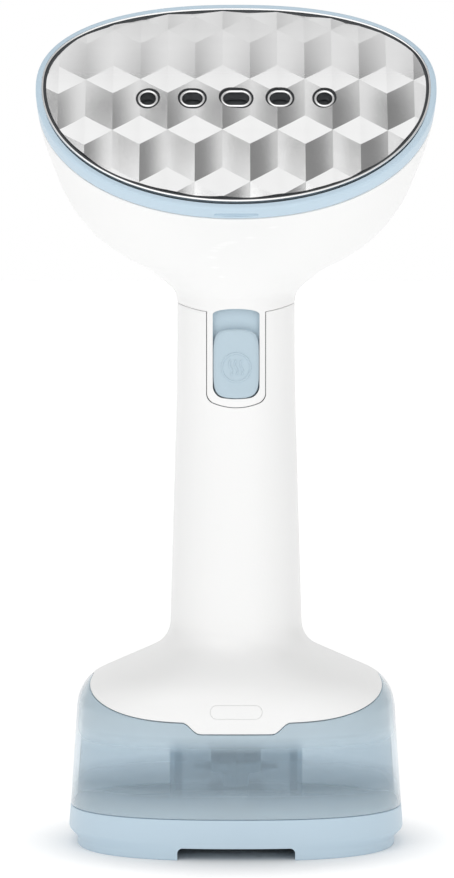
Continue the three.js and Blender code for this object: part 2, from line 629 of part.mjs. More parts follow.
// The deck closes the tank's top, with a well that the body's probe reaches down into.
function tankTop() {
  const inset = WALL + GAP;
  const edge = (z) => section(halfWidth(z) - inset, halfDepth(z) - inset, TANK_SQUARENESS, z);
  const deck = loft([edge(DECK.low), edge(DECK.high)]);
  const wellOuter = box([-WELL.half, -WELL.halfDepth, WELL.floor], [WELL.half, WELL.halfDepth, DECK.high]);
  const wellInner = box(
    [-WELL.half + WELL.wall, -WELL.halfDepth + WELL.wall, WELL.floor + WELL.wall],
    [WELL.half - WELL.wall, WELL.halfDepth - WELL.wall, DECK.high + 5]);
  const valveHole = rod(4.9, 10, 30, 18);
  return cut(join(deck, wellOuter), wellInner, valveHole);
}
add('tank_top', tankTop(), TINT);

function baseCap() {
  const at = (a, b, z) => section(a, b, TANK_SQUARENESS, z);
  const full = (z, inset = 0) => at(halfWidth(z) - inset, halfDepth(z) - inset, z);
  const outer = loft([at(CAP_FOOT_HALF_WIDTH, halfDepth(0), 0), at(CAP_FOOT_HALF_WIDTH + 0.5, halfDepth(2.8), 2.8),
    full(CAP_STEP), full(CAP_SEAM - GAP / 2)]);
  const upper = loft([full(6, 2.6), full(20, 2.6)]);
  const under = loft([at(CAP_FOOT_HALF_WIDTH - 4, halfDepth(0) - 4, -1), at(CAP_FOOT_HALF_WIDTH - 4,
    halfDepth(0) - 4, 2.6)]);
  const notch = slab(stadiumPanel(20.5, -4.2, 4, 1.8), 30, 60).rotateX(Math.PI / 2).scale(1, 1, -1);
  return cut(outer, upper, under, flipped(notch));
}

// A mirrored piece has its faces turned back outwards.
function flipped(geometry) {
  const turnedBack = mergeVertices(geometry.deleteAttribute('normal').deleteAttribute('uv'), 1e-4);
  const index = turnedBack.index.array;
  for (let i = 0; i < index.length; i += 3) [index[i], index[i + 1]] = [index[i + 1], index[i]];
  return turnedBack;
}
add('base_cap', baseCap(), BLUE);
const sealRow = (inset, z) => section(halfWidth(z) - inset, halfDepth(z) - inset, TANK_SQUARENESS, z);
add('tank_seal', cut(loft([sealRow(2.9, 11), sealRow(2.9, 14)]), loft([sealRow(4.6, 10), sealRow(4.6, 15)])),
  SILICONE);

add('tank_valve', turned([[2.4, 14.4], [4.4, 14.4], [4.4, 20.1], [4.6, 20.2], [4.6, 25], [9, 25], [9, 33.4],
  [4.9, 33.4], [4.9, 26.5], [2.4, 26.5], [2.4, 14.4]], 18), GREY);
add('valve_stem', turned([[0, 15.5], [1.2, 15.5], [1.2, 25], [2, 25.4], [2, 28.6], [0, 28.6]], 12), WHITE);
add('valve_spring', spring(1.75, 0.25, 7.6, 5).translate(0, 0, 16.6), STEEL);
add('pickup_tube', tube(4.4, 2.4, 9, 14.1, 16), SILICONE);
add('pickup_filter', tube(6.2, 4.7, 6.6, 13, 16), GREY);

// ---------------------------------------------------------------- fill door, on the tank's rear

function fillDoor() {
  const flap = slab(stadium(0, 0, 22, 18.6), -46.6, -45.1).rotateX(Math.PI / 2).translate(0, 0, FILL.height);
  const plug = ALONG_FRONT(rod(FILL.plug, 41.4, 45.2, 18)).translate(0, 0, FILL.height);
  const arm = box([-8, 45.1, 20], [8, 46.5, 24]);
  const tab = box([-5, 45.2, 39.8], [5, 48.4, 41.6]);
  return cut(join(flap, plug, arm, hingeRod(1.7, 23), tab), hingeRod(FILL.pin + 0.25, 40));
}
add('fill_door', fillDoor(), BLUE);
add('fill_door_pin', hingeRod(FILL.pin, 30), STEEL);

export default steamer;
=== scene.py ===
"""A handheld garment steamer standing on its water tank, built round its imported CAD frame.

Lengths are millimetres in the frame's axes (+Z up, -Y front) until a mesh is made, which is in metres.
"""
import json
import math

import bmesh
import bpy
import numpy as np
from mathutils import Matrix, Vector


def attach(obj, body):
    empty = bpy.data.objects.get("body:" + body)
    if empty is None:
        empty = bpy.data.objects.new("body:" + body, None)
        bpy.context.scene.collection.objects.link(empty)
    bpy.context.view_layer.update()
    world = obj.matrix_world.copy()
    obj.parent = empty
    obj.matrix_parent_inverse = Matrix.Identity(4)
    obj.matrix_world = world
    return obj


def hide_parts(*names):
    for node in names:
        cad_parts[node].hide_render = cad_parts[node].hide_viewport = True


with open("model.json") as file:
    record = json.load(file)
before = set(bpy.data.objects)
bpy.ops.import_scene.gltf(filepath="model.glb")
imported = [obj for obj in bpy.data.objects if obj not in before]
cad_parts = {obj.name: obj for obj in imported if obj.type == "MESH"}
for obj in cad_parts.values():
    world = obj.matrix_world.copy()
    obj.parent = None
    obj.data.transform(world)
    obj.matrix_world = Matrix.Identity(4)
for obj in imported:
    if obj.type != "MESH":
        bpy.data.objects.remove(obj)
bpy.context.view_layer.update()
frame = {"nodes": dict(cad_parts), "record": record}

MM = 0.001

# ------------------------------------------------------------------ driving dimensions

GAP = 0.3                   # between pieces that move apart
SEAM = 0.07                 # half the width of a seam between moulded pieces that don't move
WALL = 2.2
AHEAD = -60                 # a plane in front of every piece, where the cutting tools start

# The body's sections: (half size, height, how far the corner there is rounded).
WIDTH_PROFILE = [(60.0, 0, 0), (56.1, 58.2, 9.5), (23.6, 72.6, 7), (20.8, 168, 18), (20.8, 200, 0)]
DEPTH_PROFILE = [(45.9, 0, 0), (42.4, 58.2, 9.5), (25.2, 72.6, 7), (22.6, 168, 18), (22.6, 200, 0)]
TANK_SQUARENESS, HANDLE_SQUARENESS = 2.5, 2.2
TANK_SHAPE_TOP, HANDLE_SHAPE_LOW = 50, 80

CAP_SEAM, CAP_STEP = 14.2, 6.6
CAP_FOOT_HALF_WIDTH, CAP_FOOT_OUTSET = 56.2, 0.4
CAP_FOOT_STRAIGHT = 2.6     # height over which the cap's foot is upright
CAP_WALL, CAP_FLOOR_LOW, CAP_FLOOR_HIGH = 2.6, 2.6, 5.8
NOTCH_HALF, NOTCH_TOP, NOTCH_CORNER = 20.5, 4.2, 1.8

# The seam between tank and skirt dips at the front, where the skirt has a tongue.
SPLIT_FRONT, SPLIT_RISE, SPLIT_SHARPNESS = 47.7, 12.3, 6
SPLIT_HALF_WIDTH, SPLIT_HALF_DEPTH = 56, 43
TONGUE_HALF, TONGUE_HALF_LOW, TONGUE_DROP = 18.5, 12.5, 3.9

# The head: a bowl between two curves, from the trim ring down to the handle.
HEAD_SEAM_SIDE, HEAD_SEAM_DIP = 192.4, 3.2
HANDLE_TOP = 194.5
NECK_START = 0.93           # share of the head's length where it turns into the handle
RING_END, RING_FRONT_EXTRA, RING_JOINT = 0.075, 0.042, 0.004
RING_WALL, RING_FILLET = 2.1, 0.9
RING_MARK_AT, RING_MARK_DEPTH, RING_MARK_WIDTH, RING_MARK_HEIGHT = 0.07, 0.9, 15.2, 1.1
TILT = math.radians(38)
PLATE_CENTRE = np.array([0.0, -15.0, 269.0])
PLATE_HALF, PLATE_UP, PLATE_DOWN, PLATE_SHEET = 67.7, 34.3, 50.6, 1.6
RING_UP, RING_DOWN = 37.0, 54.2
UPPER_SQUARENESS, LOWER_SQUARENESS = 2.3, 2.05
REAR_REACH, REAR_BEND = 44, np.array([0, 27, 226])
FRONT_REACH, FRONT_BEND = 17, np.array([0, -25, 206])
BOWL_EASE = 0.7
# The third and fourth corners, and the fifth's height and rounding, come from a search program. It matched
# them to the head's outline in the photograph. The other values were chosen.
BOWL_PROFILE = [(20.8, 190, 0), (21.2, 196.5, 3), (32.3, 207.1, 5.2), (56.1, 220.1, 21.9),
                (70.3, 261.3, 10.6), (70.3, 285, 0)]
SLOT_ROW, SLOT_HEIGHT = -6.3, 8.6
SLOTS = [(-30.8, 8.4), (-15.3, 10.1), (0, 12.1), (15.3, 10.1), (30.8, 8.4)]      # (middle, width)

TRIGGER_HALF, TRIGGER_LOW, TRIGGER_HIGH, TRIGGER_BACK = 8.0, 159.6, 184.0, 20.4
BUTTON_SQUARENESS = 5.6
BUTTON_SAG = 0.85           # how far the button's ends bow
BUTTON_PROUD, BUTTON_EDGE, BUTTON_DISH = 1.1, 1.3, 0.35
PANEL_HALF, PANEL_LOW, PANEL_CORNER, PANEL_SAG = 10.3, 156.4, 2.2, 2.6
PANEL_INSET, PANEL_OUTSET = 0.08, 0.18       # of the panel, and of the opening it sits in
HEAD_EDGE = 0.33                             # the head's rounded lower edge, which the panel covers
WINDOW_HIGH, WINDOW_ARCH, WINDOW_CORNER, WINDOW_CLEARANCE = 191.0, 2.2, 3.4, 0.2
GUIDE_HALF, GUIDE_NEAR, GUIDE_FAR, GUIDE_LOW, GUIDE_HIGH = 8.6, 16.4, 17.9, 154, 195
GUIDE_SLOT_HALF, GUIDE_SLOT_LOW, GUIDE_SLOT_HIGH = 3, 162, 178
STEM_HALF, STEM_LOW, STEM_HIGH, STEM_END = 2.4, 165, 170.5, 14.2

MARK_Z, MARK_RADIUS, MARK_WIRE, MARK_PROUD = 170.5, 5.0, 0.36, 1.08
WISP_PITCH, WISP_HEIGHT, WISP_SWAY = 1.9, 5.2, 0.5

FILL_Z, FILL_HOLE = 31.0, 7.4
HINGE_Y, HINGE_Z, HINGE_BORE = 46.8, 19.6, 0.95
HINGE_AT = (0, HINGE_Y, HINGE_Z)
BARREL_HALF, BARREL_RADIUS = 11.5, 1.7
DOOR_WIDTH, DOOR_HEIGHT, DOOR_NEAR, DOOR_FAR = 22, 18.6, 45.1, 46.6
LUG_X, LUG_HALF = 13.6, 1.5
RELEASE_HALF, RELEASE_HALF_HEIGHT, RELEASE_Z = 9.0, 2.3, 51.6
GLAND_Z, GLAND_BORE = 92.0, 6.3
SCREW_Z, SCREW_BORE = 146.0, 3.4


# ------------------------------------------------------------------ materials

def principled(mat):
    return mat.node_tree.nodes["Principled BSDF"]


def material(name, colour, roughness, metallic=0.0, **sockets):
    """A Principled material with its node tree, ready for detail."""
    mat = bpy.data.materials.new(name)
    mat.use_nodes = True
    shader = principled(mat)
    shader.inputs["Base Color"].default_value = (*colour, 1)
    shader.inputs["Roughness"].default_value = roughness
    shader.inputs["Metallic"].default_value = metallic
    for socket, value in sockets.items():
        shader.inputs[socket.replace("_", " ")].default_value = value
    return mat


def node(tree, kind, **values):
    """A new node with its properties and inputs set: From_Min sets the input called From Min."""
    made = tree.nodes.new(kind)
    for key, value in values.items():
        socket = key.replace("_", " ")
        if socket in made.inputs.keys():
            made.inputs[socket].default_value = value
        else:
            setattr(made, key, value)
    return made


def calculated(tree, operation, *terms):
    """The result of a Math node whose terms are numbers or sockets."""
    made = node(tree, "ShaderNodeMath", operation=operation)
    for socket, term in zip(made.inputs, terms):
        if isinstance(term, float):
            socket.default_value = term
        else:
            tree.links.new(term, socket)
    return made.outputs["Value"]


def ramped(tree, source, start, end, low=0.0, high=1.0, shape="SMOOTHSTEP"):
    """A value that goes from low to high as the source goes from start to end."""
    made = node(tree, "ShaderNodeMapRange", interpolation_type=shape, From_Min=start, From_Max=end,
                To_Min=low, To_Max=high)
    tree.links.new(source, made.inputs["Value"])
    return made.outputs["Result"]


def mixed(tree, share, first, second):
    """A mix of two colours, each of them a colour or a socket."""
    made = node(tree, "ShaderNodeMixRGB")
    tree.links.new(share, made.inputs["Fac"])
    for name, colour in (("Color1", first), ("Color2", second)):
        if isinstance(colour, tuple):
            made.inputs[name].default_value = (*colour, 1)
        else:
            tree.links.new(colour, made.inputs[name])
    return made.outputs["Color"]


def blended(tree, share, first, second):
    """A mix of two shaders."""
    made = node(tree, "ShaderNodeMixShader")
    for socket, source in zip(made.inputs, (share, first, second)):
        tree.links.new(source, socket)
    return made.outputs["Shader"]


def colour_ramp(tree, source, stops):
    """A ramp through (position, value or colour) stops, in rising order."""
    ramp = node(tree, "ShaderNodeValToRGB")
    tree.links.new(source, ramp.inputs["Fac"])
    elements = ramp.color_ramp.elements
    elements[0].position = stops[0][0]
    elements[1].position = stops[-1][0]
    for position, _ in stops[1:-1]:
        elements.new(position)
    for element, (_, value) in zip(elements, stops):
        element.color = (*value, 1) if isinstance(value, tuple) else (value, value, value, 1)
    return ramp.outputs["Color"]


def directions(tree, kind="Object"):
    """X and Z of the place being shaded, or of the direction looked in for the world's Generated."""
    place = node(tree, "ShaderNodeTexCoord")
    split = node(tree, "ShaderNodeSeparateXYZ")
    tree.links.new(place.outputs[kind], split.inputs["Vector"])
    return split.outputs["X"], split.outputs["Z"]


def height_ramp(tree, stops, top=50.0):
    """A ramp over the object's height, from 0 to top: stops are (height in mm, value or colour)."""
    _, height = directions(tree)
    share = ramped(tree, height, 0.0, top * MM, shape="LINEAR")
    return colour_ramp(tree, share, [(stop / top, value) for stop, value in stops])


def add_detail(mat, colour, dark, grain, roughness_range, bump, stretch=(1, 1, 1)):
    """Mottled colour, uneven roughness, paler colour on pointed edges and a fine moulded or brushed surface.
    """
    tree, shader = mat.node_tree, principled(mat)
    place = node(tree, "ShaderNodeTexCoord")
    mapping = node(tree, "ShaderNodeMapping", Scale=stretch)
    tree.links.new(place.outputs["Object"], mapping.inputs["Vector"])
    cloud = node(tree, "ShaderNodeTexNoise", Scale=18.0, Detail=4.0)
    fine = node(tree, "ShaderNodeTexNoise", Scale=grain, Detail=3.0)
    for texture in (cloud, fine):
        tree.links.new(mapping.outputs["Vector"], texture.inputs["Vector"])
    mottled = mixed(tree, cloud.outputs["Fac"], tuple(colour), tuple(dark))
    pointiness_source = node(tree, "ShaderNodeNewGeometry")
    # Paler colour where the surface is pointed, on convex edges.
    edges = ramped(tree, pointiness_source.outputs["Pointiness"], 0.53, 0.62, high=0.25, shape="LINEAR")
    paler = tuple(min(1.0, c * 1.12) for c in colour)
    tree.links.new(mixed(tree, edges, mottled, paler), shader.inputs["Base Color"])
    rough = ramped(tree, cloud.outputs["Fac"], 0.0, 1.0, *roughness_range, shape="LINEAR")
    tree.links.new(rough, shader.inputs["Roughness"])
    relief = node(tree, "ShaderNodeBump", Strength=bump, Distance=0.0002)
    tree.links.new(fine.outputs["Fac"], relief.inputs["Height"])
    tree.links.new(relief.outputs["Normal"], shader.inputs["Normal"])
    return mat


def detailed(name, colour, dark, roughness_range, grain=900.0, bump=0.15, stretch=(1, 1, 1), **sockets):
    mat = material(name, colour, roughness_range[0], **sockets)
    return add_detail(mat, colour, dark, grain, roughness_range, bump, stretch)


def tinted(mat, haze_and_light, dye_and_shade):
    """A moulding that light passes straight through, dyed, with a share of its own surface by height: a milky
    haze whose changes with height are painted light over the shade inside, and a dye that can carry painted
    shade.
    """
    tree = mat.node_tree
    clear = node(tree, "ShaderNodeBsdfTransparent")
    if isinstance(dye_and_shade, tuple):
        clear.inputs["Color"].default_value = (*dye_and_shade, 1)
    else:
        tree.links.new(dye_and_shade, clear.inputs["Color"])
    polish = node(tree, "ShaderNodeBsdfGlossy", Roughness=0.06)
    slant = node(tree, "ShaderNodeFresnel", IOR=1.2)
    side = node(tree, "ShaderNodeNewGeometry")
    # Only the outer faces shine: inner ones would reflect everything that meets them at a slant.
    outer = calculated(tree, "SUBTRACT", 1.0, side.outputs["Backfacing"])
    shine = calculated(tree, "MULTIPLY", slant.outputs["Fac"], outer)
    hazy_and_lit = blended(tree, height_ramp(tree, haze_and_light), clear.outputs["BSDF"], principled(mat).outputs["BSDF"])
    final = blended(tree, shine, hazy_and_lit, polish.outputs["BSDF"])
    tree.links.new(final, tree.nodes["Material Output"].inputs["Surface"])
    return mat


# The tank's milky share by height: a real haze, made stronger low down and near the top as painted light over
# the shade inside the tank.
TANK_HAZE_AND_LIGHT = [(14.5, 0.62), (19.0, 0.45), (25.0, 0.2), (37.0, 0.15), (43.0, 0.7)]
WELL_HAZE_AND_LIGHT = [(20.0, 0.16), (40.0, 0.3)]
# The well's milky share by height: a real haze, made stronger towards the top as painted light.
PLATE_ROUGHNESS = [(262.0, 0.16), (292.0, 0.46)]
WELL_WALL_NEAR, WELL_WALL_FAR = 18.8, 19.6          # to each side of the tank's middle
WELL_DECK_LOW, WELL_DECK_HIGH = 33, 34.5
MATERIALS = {
    "white_plastic": detailed("white_plastic", (0.9, 0.9, 0.895), (0.88, 0.88, 0.875), (0.3, 0.38),
                              Coat_Weight=0.15, Coat_Roughness=0.2),
    "blue_plastic": detailed("blue_plastic", (0.54, 0.67, 0.77), (0.51, 0.645, 0.745), (0.33, 0.42),
                             Coat_Weight=0.1, Coat_Roughness=0.25),
    "clear_tank": tinted(detailed("clear_tank", (0.60, 0.71, 0.78), (0.56, 0.68, 0.75), (0.08, 0.16),
                                  bump=0.03), TANK_HAZE_AND_LIGHT, (0.87, 0.915, 0.945)),
    "plate_metal": detailed("plate_metal", (0.88, 0.88, 0.88), (0.84, 0.84, 0.84), (0.14, 0.2), grain=600.0,
                            bump=0.05, stretch=(1, 14, 14), metallic=1.0),
    "chrome_rim": detailed("chrome_rim", (0.90, 0.90, 0.90), (0.86, 0.86, 0.86), (0.06, 0.12), bump=0.02,
                           metallic=1.0),
    "cast_alloy": detailed("cast_alloy", (0.62, 0.62, 0.63), (0.5, 0.5, 0.51), (0.4, 0.6), bump=0.5,
                           metallic=1.0),
    "dark_rubber": detailed("dark_rubber", (0.045, 0.05, 0.055), (0.03, 0.033, 0.036), (0.5, 0.7), bump=0.3),
    "clear_silicone": detailed("clear_silicone", (0.72, 0.75, 0.77), (0.66, 0.69, 0.72), (0.4, 0.55),
                               Subsurface_Weight=0.1),
    "grey_plastic": detailed("grey_plastic", (0.22, 0.26, 0.30), (0.18, 0.22, 0.26), (0.4, 0.55), bump=0.2),
    "circuit_board": detailed("circuit_board", (0.05, 0.24, 0.12), (0.04, 0.19, 0.09), (0.3, 0.5), bump=0.3),
    "copper_coil": detailed("copper_coil", (0.62, 0.30, 0.15), (0.5, 0.22, 0.1), (0.3, 0.45), grain=300.0,
                            bump=0.8, stretch=(1, 1, 12), metallic=1.0),
    "small_steel": detailed("small_steel", (0.62, 0.62, 0.63), (0.5, 0.5, 0.51), (0.25, 0.4), metallic=1.0),
}


def valve_with_painted_light():
    """The valve's moulding: dark over a band of its height and light above and below. The light colour is
    painted light, made pale to make up for the shade inside the tank.
    """
    mat = detailed("valve_with_painted_light", (0.3, 0.34, 0.38), (0.26, 0.30, 0.34), (0.3, 0.45))
    light, dark = (0.86, 0.91, 0.94), (0.16, 0.20, 0.24)
    # Painted light: the pale colour below and above the dark band makes up for the shade inside the tank.
    shade = height_ramp(mat.node_tree, [(28.0, light), (29.2, dark), (33.4, dark), (34.6, light)])
    mat.node_tree.links.new(shade, principled(mat).inputs["Base Color"])
    return mat


def well_plastic():
    """The tank's clear top: its see-through colour is darker at the well's side walls, painted shade for the
    walls seen edge-on.
    """
    mat = detailed("well_plastic", (0.70, 0.80, 0.86), (0.66, 0.77, 0.83), (0.1, 0.2), bump=0.03)
    tree = mat.node_tree
    across, height = directions(tree)
    # Painted shade: darker see-through colour where the well's side walls are seen edge-on, below the deck.
    walls = ramped(tree, calculated(tree, "ABSOLUTE", across), WELL_WALL_NEAR * MM, WELL_WALL_FAR * MM)
    below_deck = ramped(tree, height, WELL_DECK_HIGH * MM, WELL_DECK_LOW * MM)
    walls_only = calculated(tree, "MULTIPLY", walls, below_deck)
    return tinted(mat, WELL_HAZE_AND_LIGHT, mixed(tree, walls_only, (0.95, 0.97, 0.985), (0.68, 0.75, 0.80)))


def fade_polish(mat):
    """Makes the plate rougher towards its top, so that the facets there look fainter."""
    ramp = height_ramp(mat.node_tree, PLATE_ROUGHNESS, 300.0)
    mat.node_tree.links.new(ramp, principled(mat).inputs["Roughness"])


fade_polish(MATERIALS["plate_metal"])
SPECIAL = {"tank_valve": valve_with_painted_light(), "tank_top": well_plastic()}
# A lighter copy of the blue plastic: painted light, so that the guide deep behind the trigger looks as bright
# as a shallow recess.
RECESS_LIGHTENED = detailed("recess_painted_light", (0.62, 0.76, 0.85), (0.60, 0.74, 0.83), (0.4, 0.5))
# A darker copy of the blue plastic: painted shade, which tones the trigger button down under the bright key
# lamp.
BUTTON_DARKENED = detailed("button_painted_shade", (0.48, 0.595, 0.67), (0.465, 0.58, 0.655), (0.36, 0.44))


# ------------------------------------------------------------------ mesh helpers

def add_object(name, data):
    """Puts a mesh, curve, lamp or camera into the scene."""
    obj = bpy.data.objects.new(name, data)
    bpy.context.scene.collection.objects.link(obj)
    return obj


def make_mesh(name, points, faces):
    """A mesh object from points in millimetres."""
    mesh = bpy.data.meshes.new(name)
    mesh.from_pydata((np.asarray(points) * MM).tolist(), [], faces)
    mesh.update()
    return add_object(name, mesh)


def tidy_mesh(obj, merge=1e-6):
    """Welds doubled points and turns every face outwards."""
    bm = bmesh.new()
    bm.from_mesh(obj.data)
    bmesh.ops.remove_doubles(bm, verts=bm.verts, dist=merge)
    bmesh.ops.dissolve_degenerate(bm, edges=bm.edges, dist=merge)
    bmesh.ops.recalc_face_normals(bm, faces=bm.faces)
    bm.to_mesh(obj.data)
    bm.free()
    return obj


def smooth(obj, angle=35.0):
    """Smooth shading with sharp edges above an angle in degrees."""
    obj.data.shade_smooth()
    obj.data.set_sharp_from_angle(angle=math.radians(angle))
    return obj


def piece(obj, body, slot, *nodes, look=None):
    """Gives a piece its material and body, and hides the CAD nodes it stands for."""
    obj.data.materials.clear()
    obj.data.materials.append(look or MATERIALS[slot])
    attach(obj, body)
    if nodes:
        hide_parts(*nodes)
    return obj


def boolean(obj, operation, *tools):
    """Cuts or joins solids for good, and removes the tools."""
    for tool in tools:
        modifier = obj.modifiers.new("bool", "BOOLEAN")
        modifier.operation = operation
        modifier.solver = "EXACT"
        modifier.object = tool
    graph = bpy.context.evaluated_depsgraph_get()
    result = bpy.data.meshes.new_from_object(obj.evaluated_get(graph))
    obj.modifiers.clear()
    obj.data = result
    for tool in tools:
        bpy.data.objects.remove(tool)
    return obj


def grid_faces(rows, columns, closed, start=0, flip=False):
    """Quads of a grid of points stored row by row."""
    faces = []
    for r in range(rows - 1):
        for c in range(columns if closed else columns - 1):
            n = (c + 1) % columns
            quad = [start + r * columns + c, start + r * columns + n,
                    start + (r + 1) * columns + n, start + (r + 1) * columns + c]
            faces.append(quad[::-1] if flip else quad)
    return faces


def join(faces, a, b, offset, flip=False):
    """Joins the edge a-b of one layer of points to the same edge of the layer stored offset further on."""
    quad = [a, b, offset + b, offset + a]
    faces.append(quad[::-1] if flip else quad)


def loft(name, rows):
    """A closed solid through rings of points, with a flat fan at each end."""
    rows = np.asarray(rows, float)
    count, columns = rows.shape[:2]
    points = np.concatenate([rows.reshape(-1, 3), rows[0].mean(0)[None], rows[-1].mean(0)[None]])
    faces = grid_faces(count, columns, True)
    bottom, top = len(points) - 2, len(points) - 1
    last = (count - 1) * columns
    for c in range(columns):
        n = (c + 1) % columns
        faces.append([bottom, n, c])
        faces.append([top, last + c, last + n])
    return make_mesh(name, points, faces)


def turned(name, profile, segments=64, axis="z", at=(0, 0, 0)):
    """A lathed solid from a closed [radius, height] outline, along an axis."""
    angles = np.linspace(0, 2 * np.pi, segments, endpoint=False)
    rings = [[(r * math.cos(a), r * math.sin(a), z) for a in angles] for r, z in profile]
    points = np.array(rings).reshape(-1, 3)
    faces = grid_faces(len(profile), segments, True)
    if profile[0] != profile[-1]:
        raise ValueError("the outline isn't closed")
    if axis == "y":
        points = points[:, [0, 2, 1]] * (-1, 1, 1)
    if axis == "x":
        points = points[:, [2, 1, 0]] * (1, 1, -1)
    obj = make_mesh(name, points + np.array(at), faces)
    return tidy_mesh(obj)


def rod(name, radius, low, high, axis="z", at=(0, 0, 0), segments=64):
    """A plain cylinder, or the tool that bores its hole."""
    return turned(name, [(0, low), (radius, low), (radius, high), (0, high), (0, low)], segments, axis, at)


def rounded(profile, radius=0.4, steps=4):
    """A closed [radius, height] outline with its corners rounded, except on the axis."""
    result = []
    corners = profile[:-1]
    for i, corner in enumerate(corners):
        before = np.array(corners[i - 1], float)
        here = np.array(corner, float)
        after = np.array(corners[(i + 1) % len(corners)], float)
        reach = min(radius, np.linalg.norm(before - here) * 0.45, np.linalg.norm(after - here) * 0.45)
        if corner[0] == 0 or reach == 0:
            result.append(tuple(here))
            continue
        a = here + (before - here) / np.linalg.norm(before - here) * reach
        b = here + (after - here) / np.linalg.norm(after - here) * reach
        for t in np.linspace(0, 1, steps):
            result.append(tuple((1 - t) ** 2 * a + 2 * t * (1 - t) * here + t ** 2 * b))
    return result + [result[0]]


def prism(name, outline, low, high, axis="y"):
    """A closed prism from an outline in X and Z, between two values of Y (or X and Y between two Z)."""
    outline = np.asarray(outline, float)
    n = len(outline)
    if axis == "y":
        layers = [np.column_stack([outline[:, 0], np.full(n, y), outline[:, 1]]) for y in (low, high)]
    else:
        layers = [np.column_stack([outline, np.full(n, z)]) for z in (low, high)]
    faces = [list(range(n)), list(range(2 * n - 1, n - 1, -1))] + grid_faces(2, n, True)
    return tidy_mesh(make_mesh(name, np.concatenate(layers), faces))


def box(name, low, high):
    outline = [(low[0], low[1]), (high[0], low[1]), (high[0], high[1]), (low[0], high[1])]
    return prism(name, outline, low[2], high[2], axis="z")


def pipe(name, points, radius, segments=16):
    """A round wire through points, as a mesh with closed ends."""
    curve = bpy.data.curves.new(name, "CURVE")
    curve.dimensions = "3D"
    curve.bevel_depth = radius * MM
    curve.bevel_resolution = segments // 4
    curve.use_fill_caps = True
    spline = curve.splines.new("NURBS")
    spline.points.add(len(points) - 1)
    for target, point in zip(spline.points, points):
        target.co = (*(np.array(point) * MM), 1)
    spline.use_endpoint_u = True
    spline.order_u = 4
    holder = add_object(name + "_curve", curve)
    mesh = bpy.data.meshes.new_from_object(holder)
    bpy.data.objects.remove(holder)
    return smooth(tidy_mesh(add_object(name, mesh)), 50)


# ------------------------------------------------------------------ outer surfaces

def power(value, exponent):
    """A power that keeps the sign."""
    return np.sign(value) * np.abs(value) ** exponent


def smoothstep(value, low, high):
    """0 below low, 1 above high, and an even ease between them."""
    t = np.clip((np.asarray(value, float) - low) / (high - low), 0, 1)
    return t * t * (3 - 2 * t)


def rounded_profile(corners, steps=48):
    """(heights, sizes) along a polyline whose corners are rounded."""
    points = [np.array(corners[0][:2], float)]
    for before, corner, after in zip(corners, corners[1:], corners[2:]):
        here = np.array(corner[:2], float)
        a = np.array(before[:2], float) - here
        b = np.array(after[:2], float) - here
        a *= corner[2] / np.linalg.norm(a)
        b *= corner[2] / np.linalg.norm(b)
        for t in np.linspace(0, 1, steps):
            points.append(here + (1 - t) ** 2 * a + t ** 2 * b)
    points.append(np.array(corners[-1][:2], float))
    points = np.array(points)
    return points[:, 1], points[:, 0]


WIDTHS = rounded_profile(WIDTH_PROFILE)
DEPTHS = rounded_profile(DEPTH_PROFILE)
BOWL_WIDTHS = rounded_profile(BOWL_PROFILE)


def half_width(z):
    return np.interp(z, *WIDTHS)


def half_depth(z):
    return np.interp(z, *DEPTHS)


def squareness(z):
    share = smoothstep(z, TANK_SHAPE_TOP, HANDLE_SHAPE_LOW)
    return TANK_SQUARENESS + (HANDLE_SQUARENESS - TANK_SQUARENESS) * share


def body_point(angle, z, outset=0.0):
    """The body's outer surface. Angle 0 is +X and 90 degrees is the rear."""
    e = 2 / squareness(z)
    x = (half_width(z) + outset) * power(np.cos(angle), e)
    y = (half_depth(z) + outset) * power(np.sin(angle), e)
    return np.stack(np.broadcast_arrays(x, y, z), -1)


def split_height(angle):
    """Height of the seam between tank and skirt."""
    x = SPLIT_HALF_WIDTH * power(np.cos(angle), 2 / TANK_SQUARENESS)
    y = SPLIT_HALF_DEPTH * power(np.sin(angle), 2 / TANK_SQUARENESS)
    seam = SPLIT_FRONT + SPLIT_RISE * (np.abs(x) / np.hypot(x, y)) ** SPLIT_SHARPNESS
    tongue = (np.sin(angle) < 0) * (1 - smoothstep(np.abs(x), TONGUE_HALF_LOW, TONGUE_HALF))
    return seam - TONGUE_DROP * tongue


def head_seam(angle):
    """Height of the seam between handle and head, which dips at the front."""
    return HEAD_SEAM_SIDE - HEAD_SEAM_DIP * np.maximum(0, -np.sin(angle)) ** 2


UP_PLATE = np.array([0, math.sin(TILT), math.cos(TILT)])
OUTWARD = np.array([0, -math.cos(TILT), math.sin(TILT)])
RIGHT = np.array([1.0, 0, 0])


def on_plate(points):
    """Points drawn with X right, Y up the plate and Z out of it, put in their place."""
    points = np.asarray(points, float)
    return PLATE_CENTRE + points[..., :1] * RIGHT + points[..., 1:2] * UP_PLATE + points[..., 2:] * OUTWARD


def head_squareness(angle):
    """How square the plate and the ring are: the upper half is the squarer."""
    return np.where(np.sin(angle) > 0, UPPER_SQUARENESS, LOWER_SQUARENESS)


def ring_end(angle):
    """How far down the bowl the trim ring reaches."""
    return RING_END + RING_FRONT_EXTRA * np.maximum(0, -np.sin(angle)) ** 2


def plate_outline(grow, count=240):
    """The plate's outline, grown evenly, in the plate's own frame."""
    angle = np.linspace(0, 2 * np.pi, count, endpoint=False)
    e = 2 / head_squareness(angle)
    y_size = np.where(np.sin(angle) > 0, PLATE_UP + grow, PLATE_DOWN + grow)
    x = (PLATE_HALF + grow) * power(np.cos(angle), e)
    y = y_size * power(np.sin(angle), e)
    return np.column_stack([x, y, np.zeros(count)])


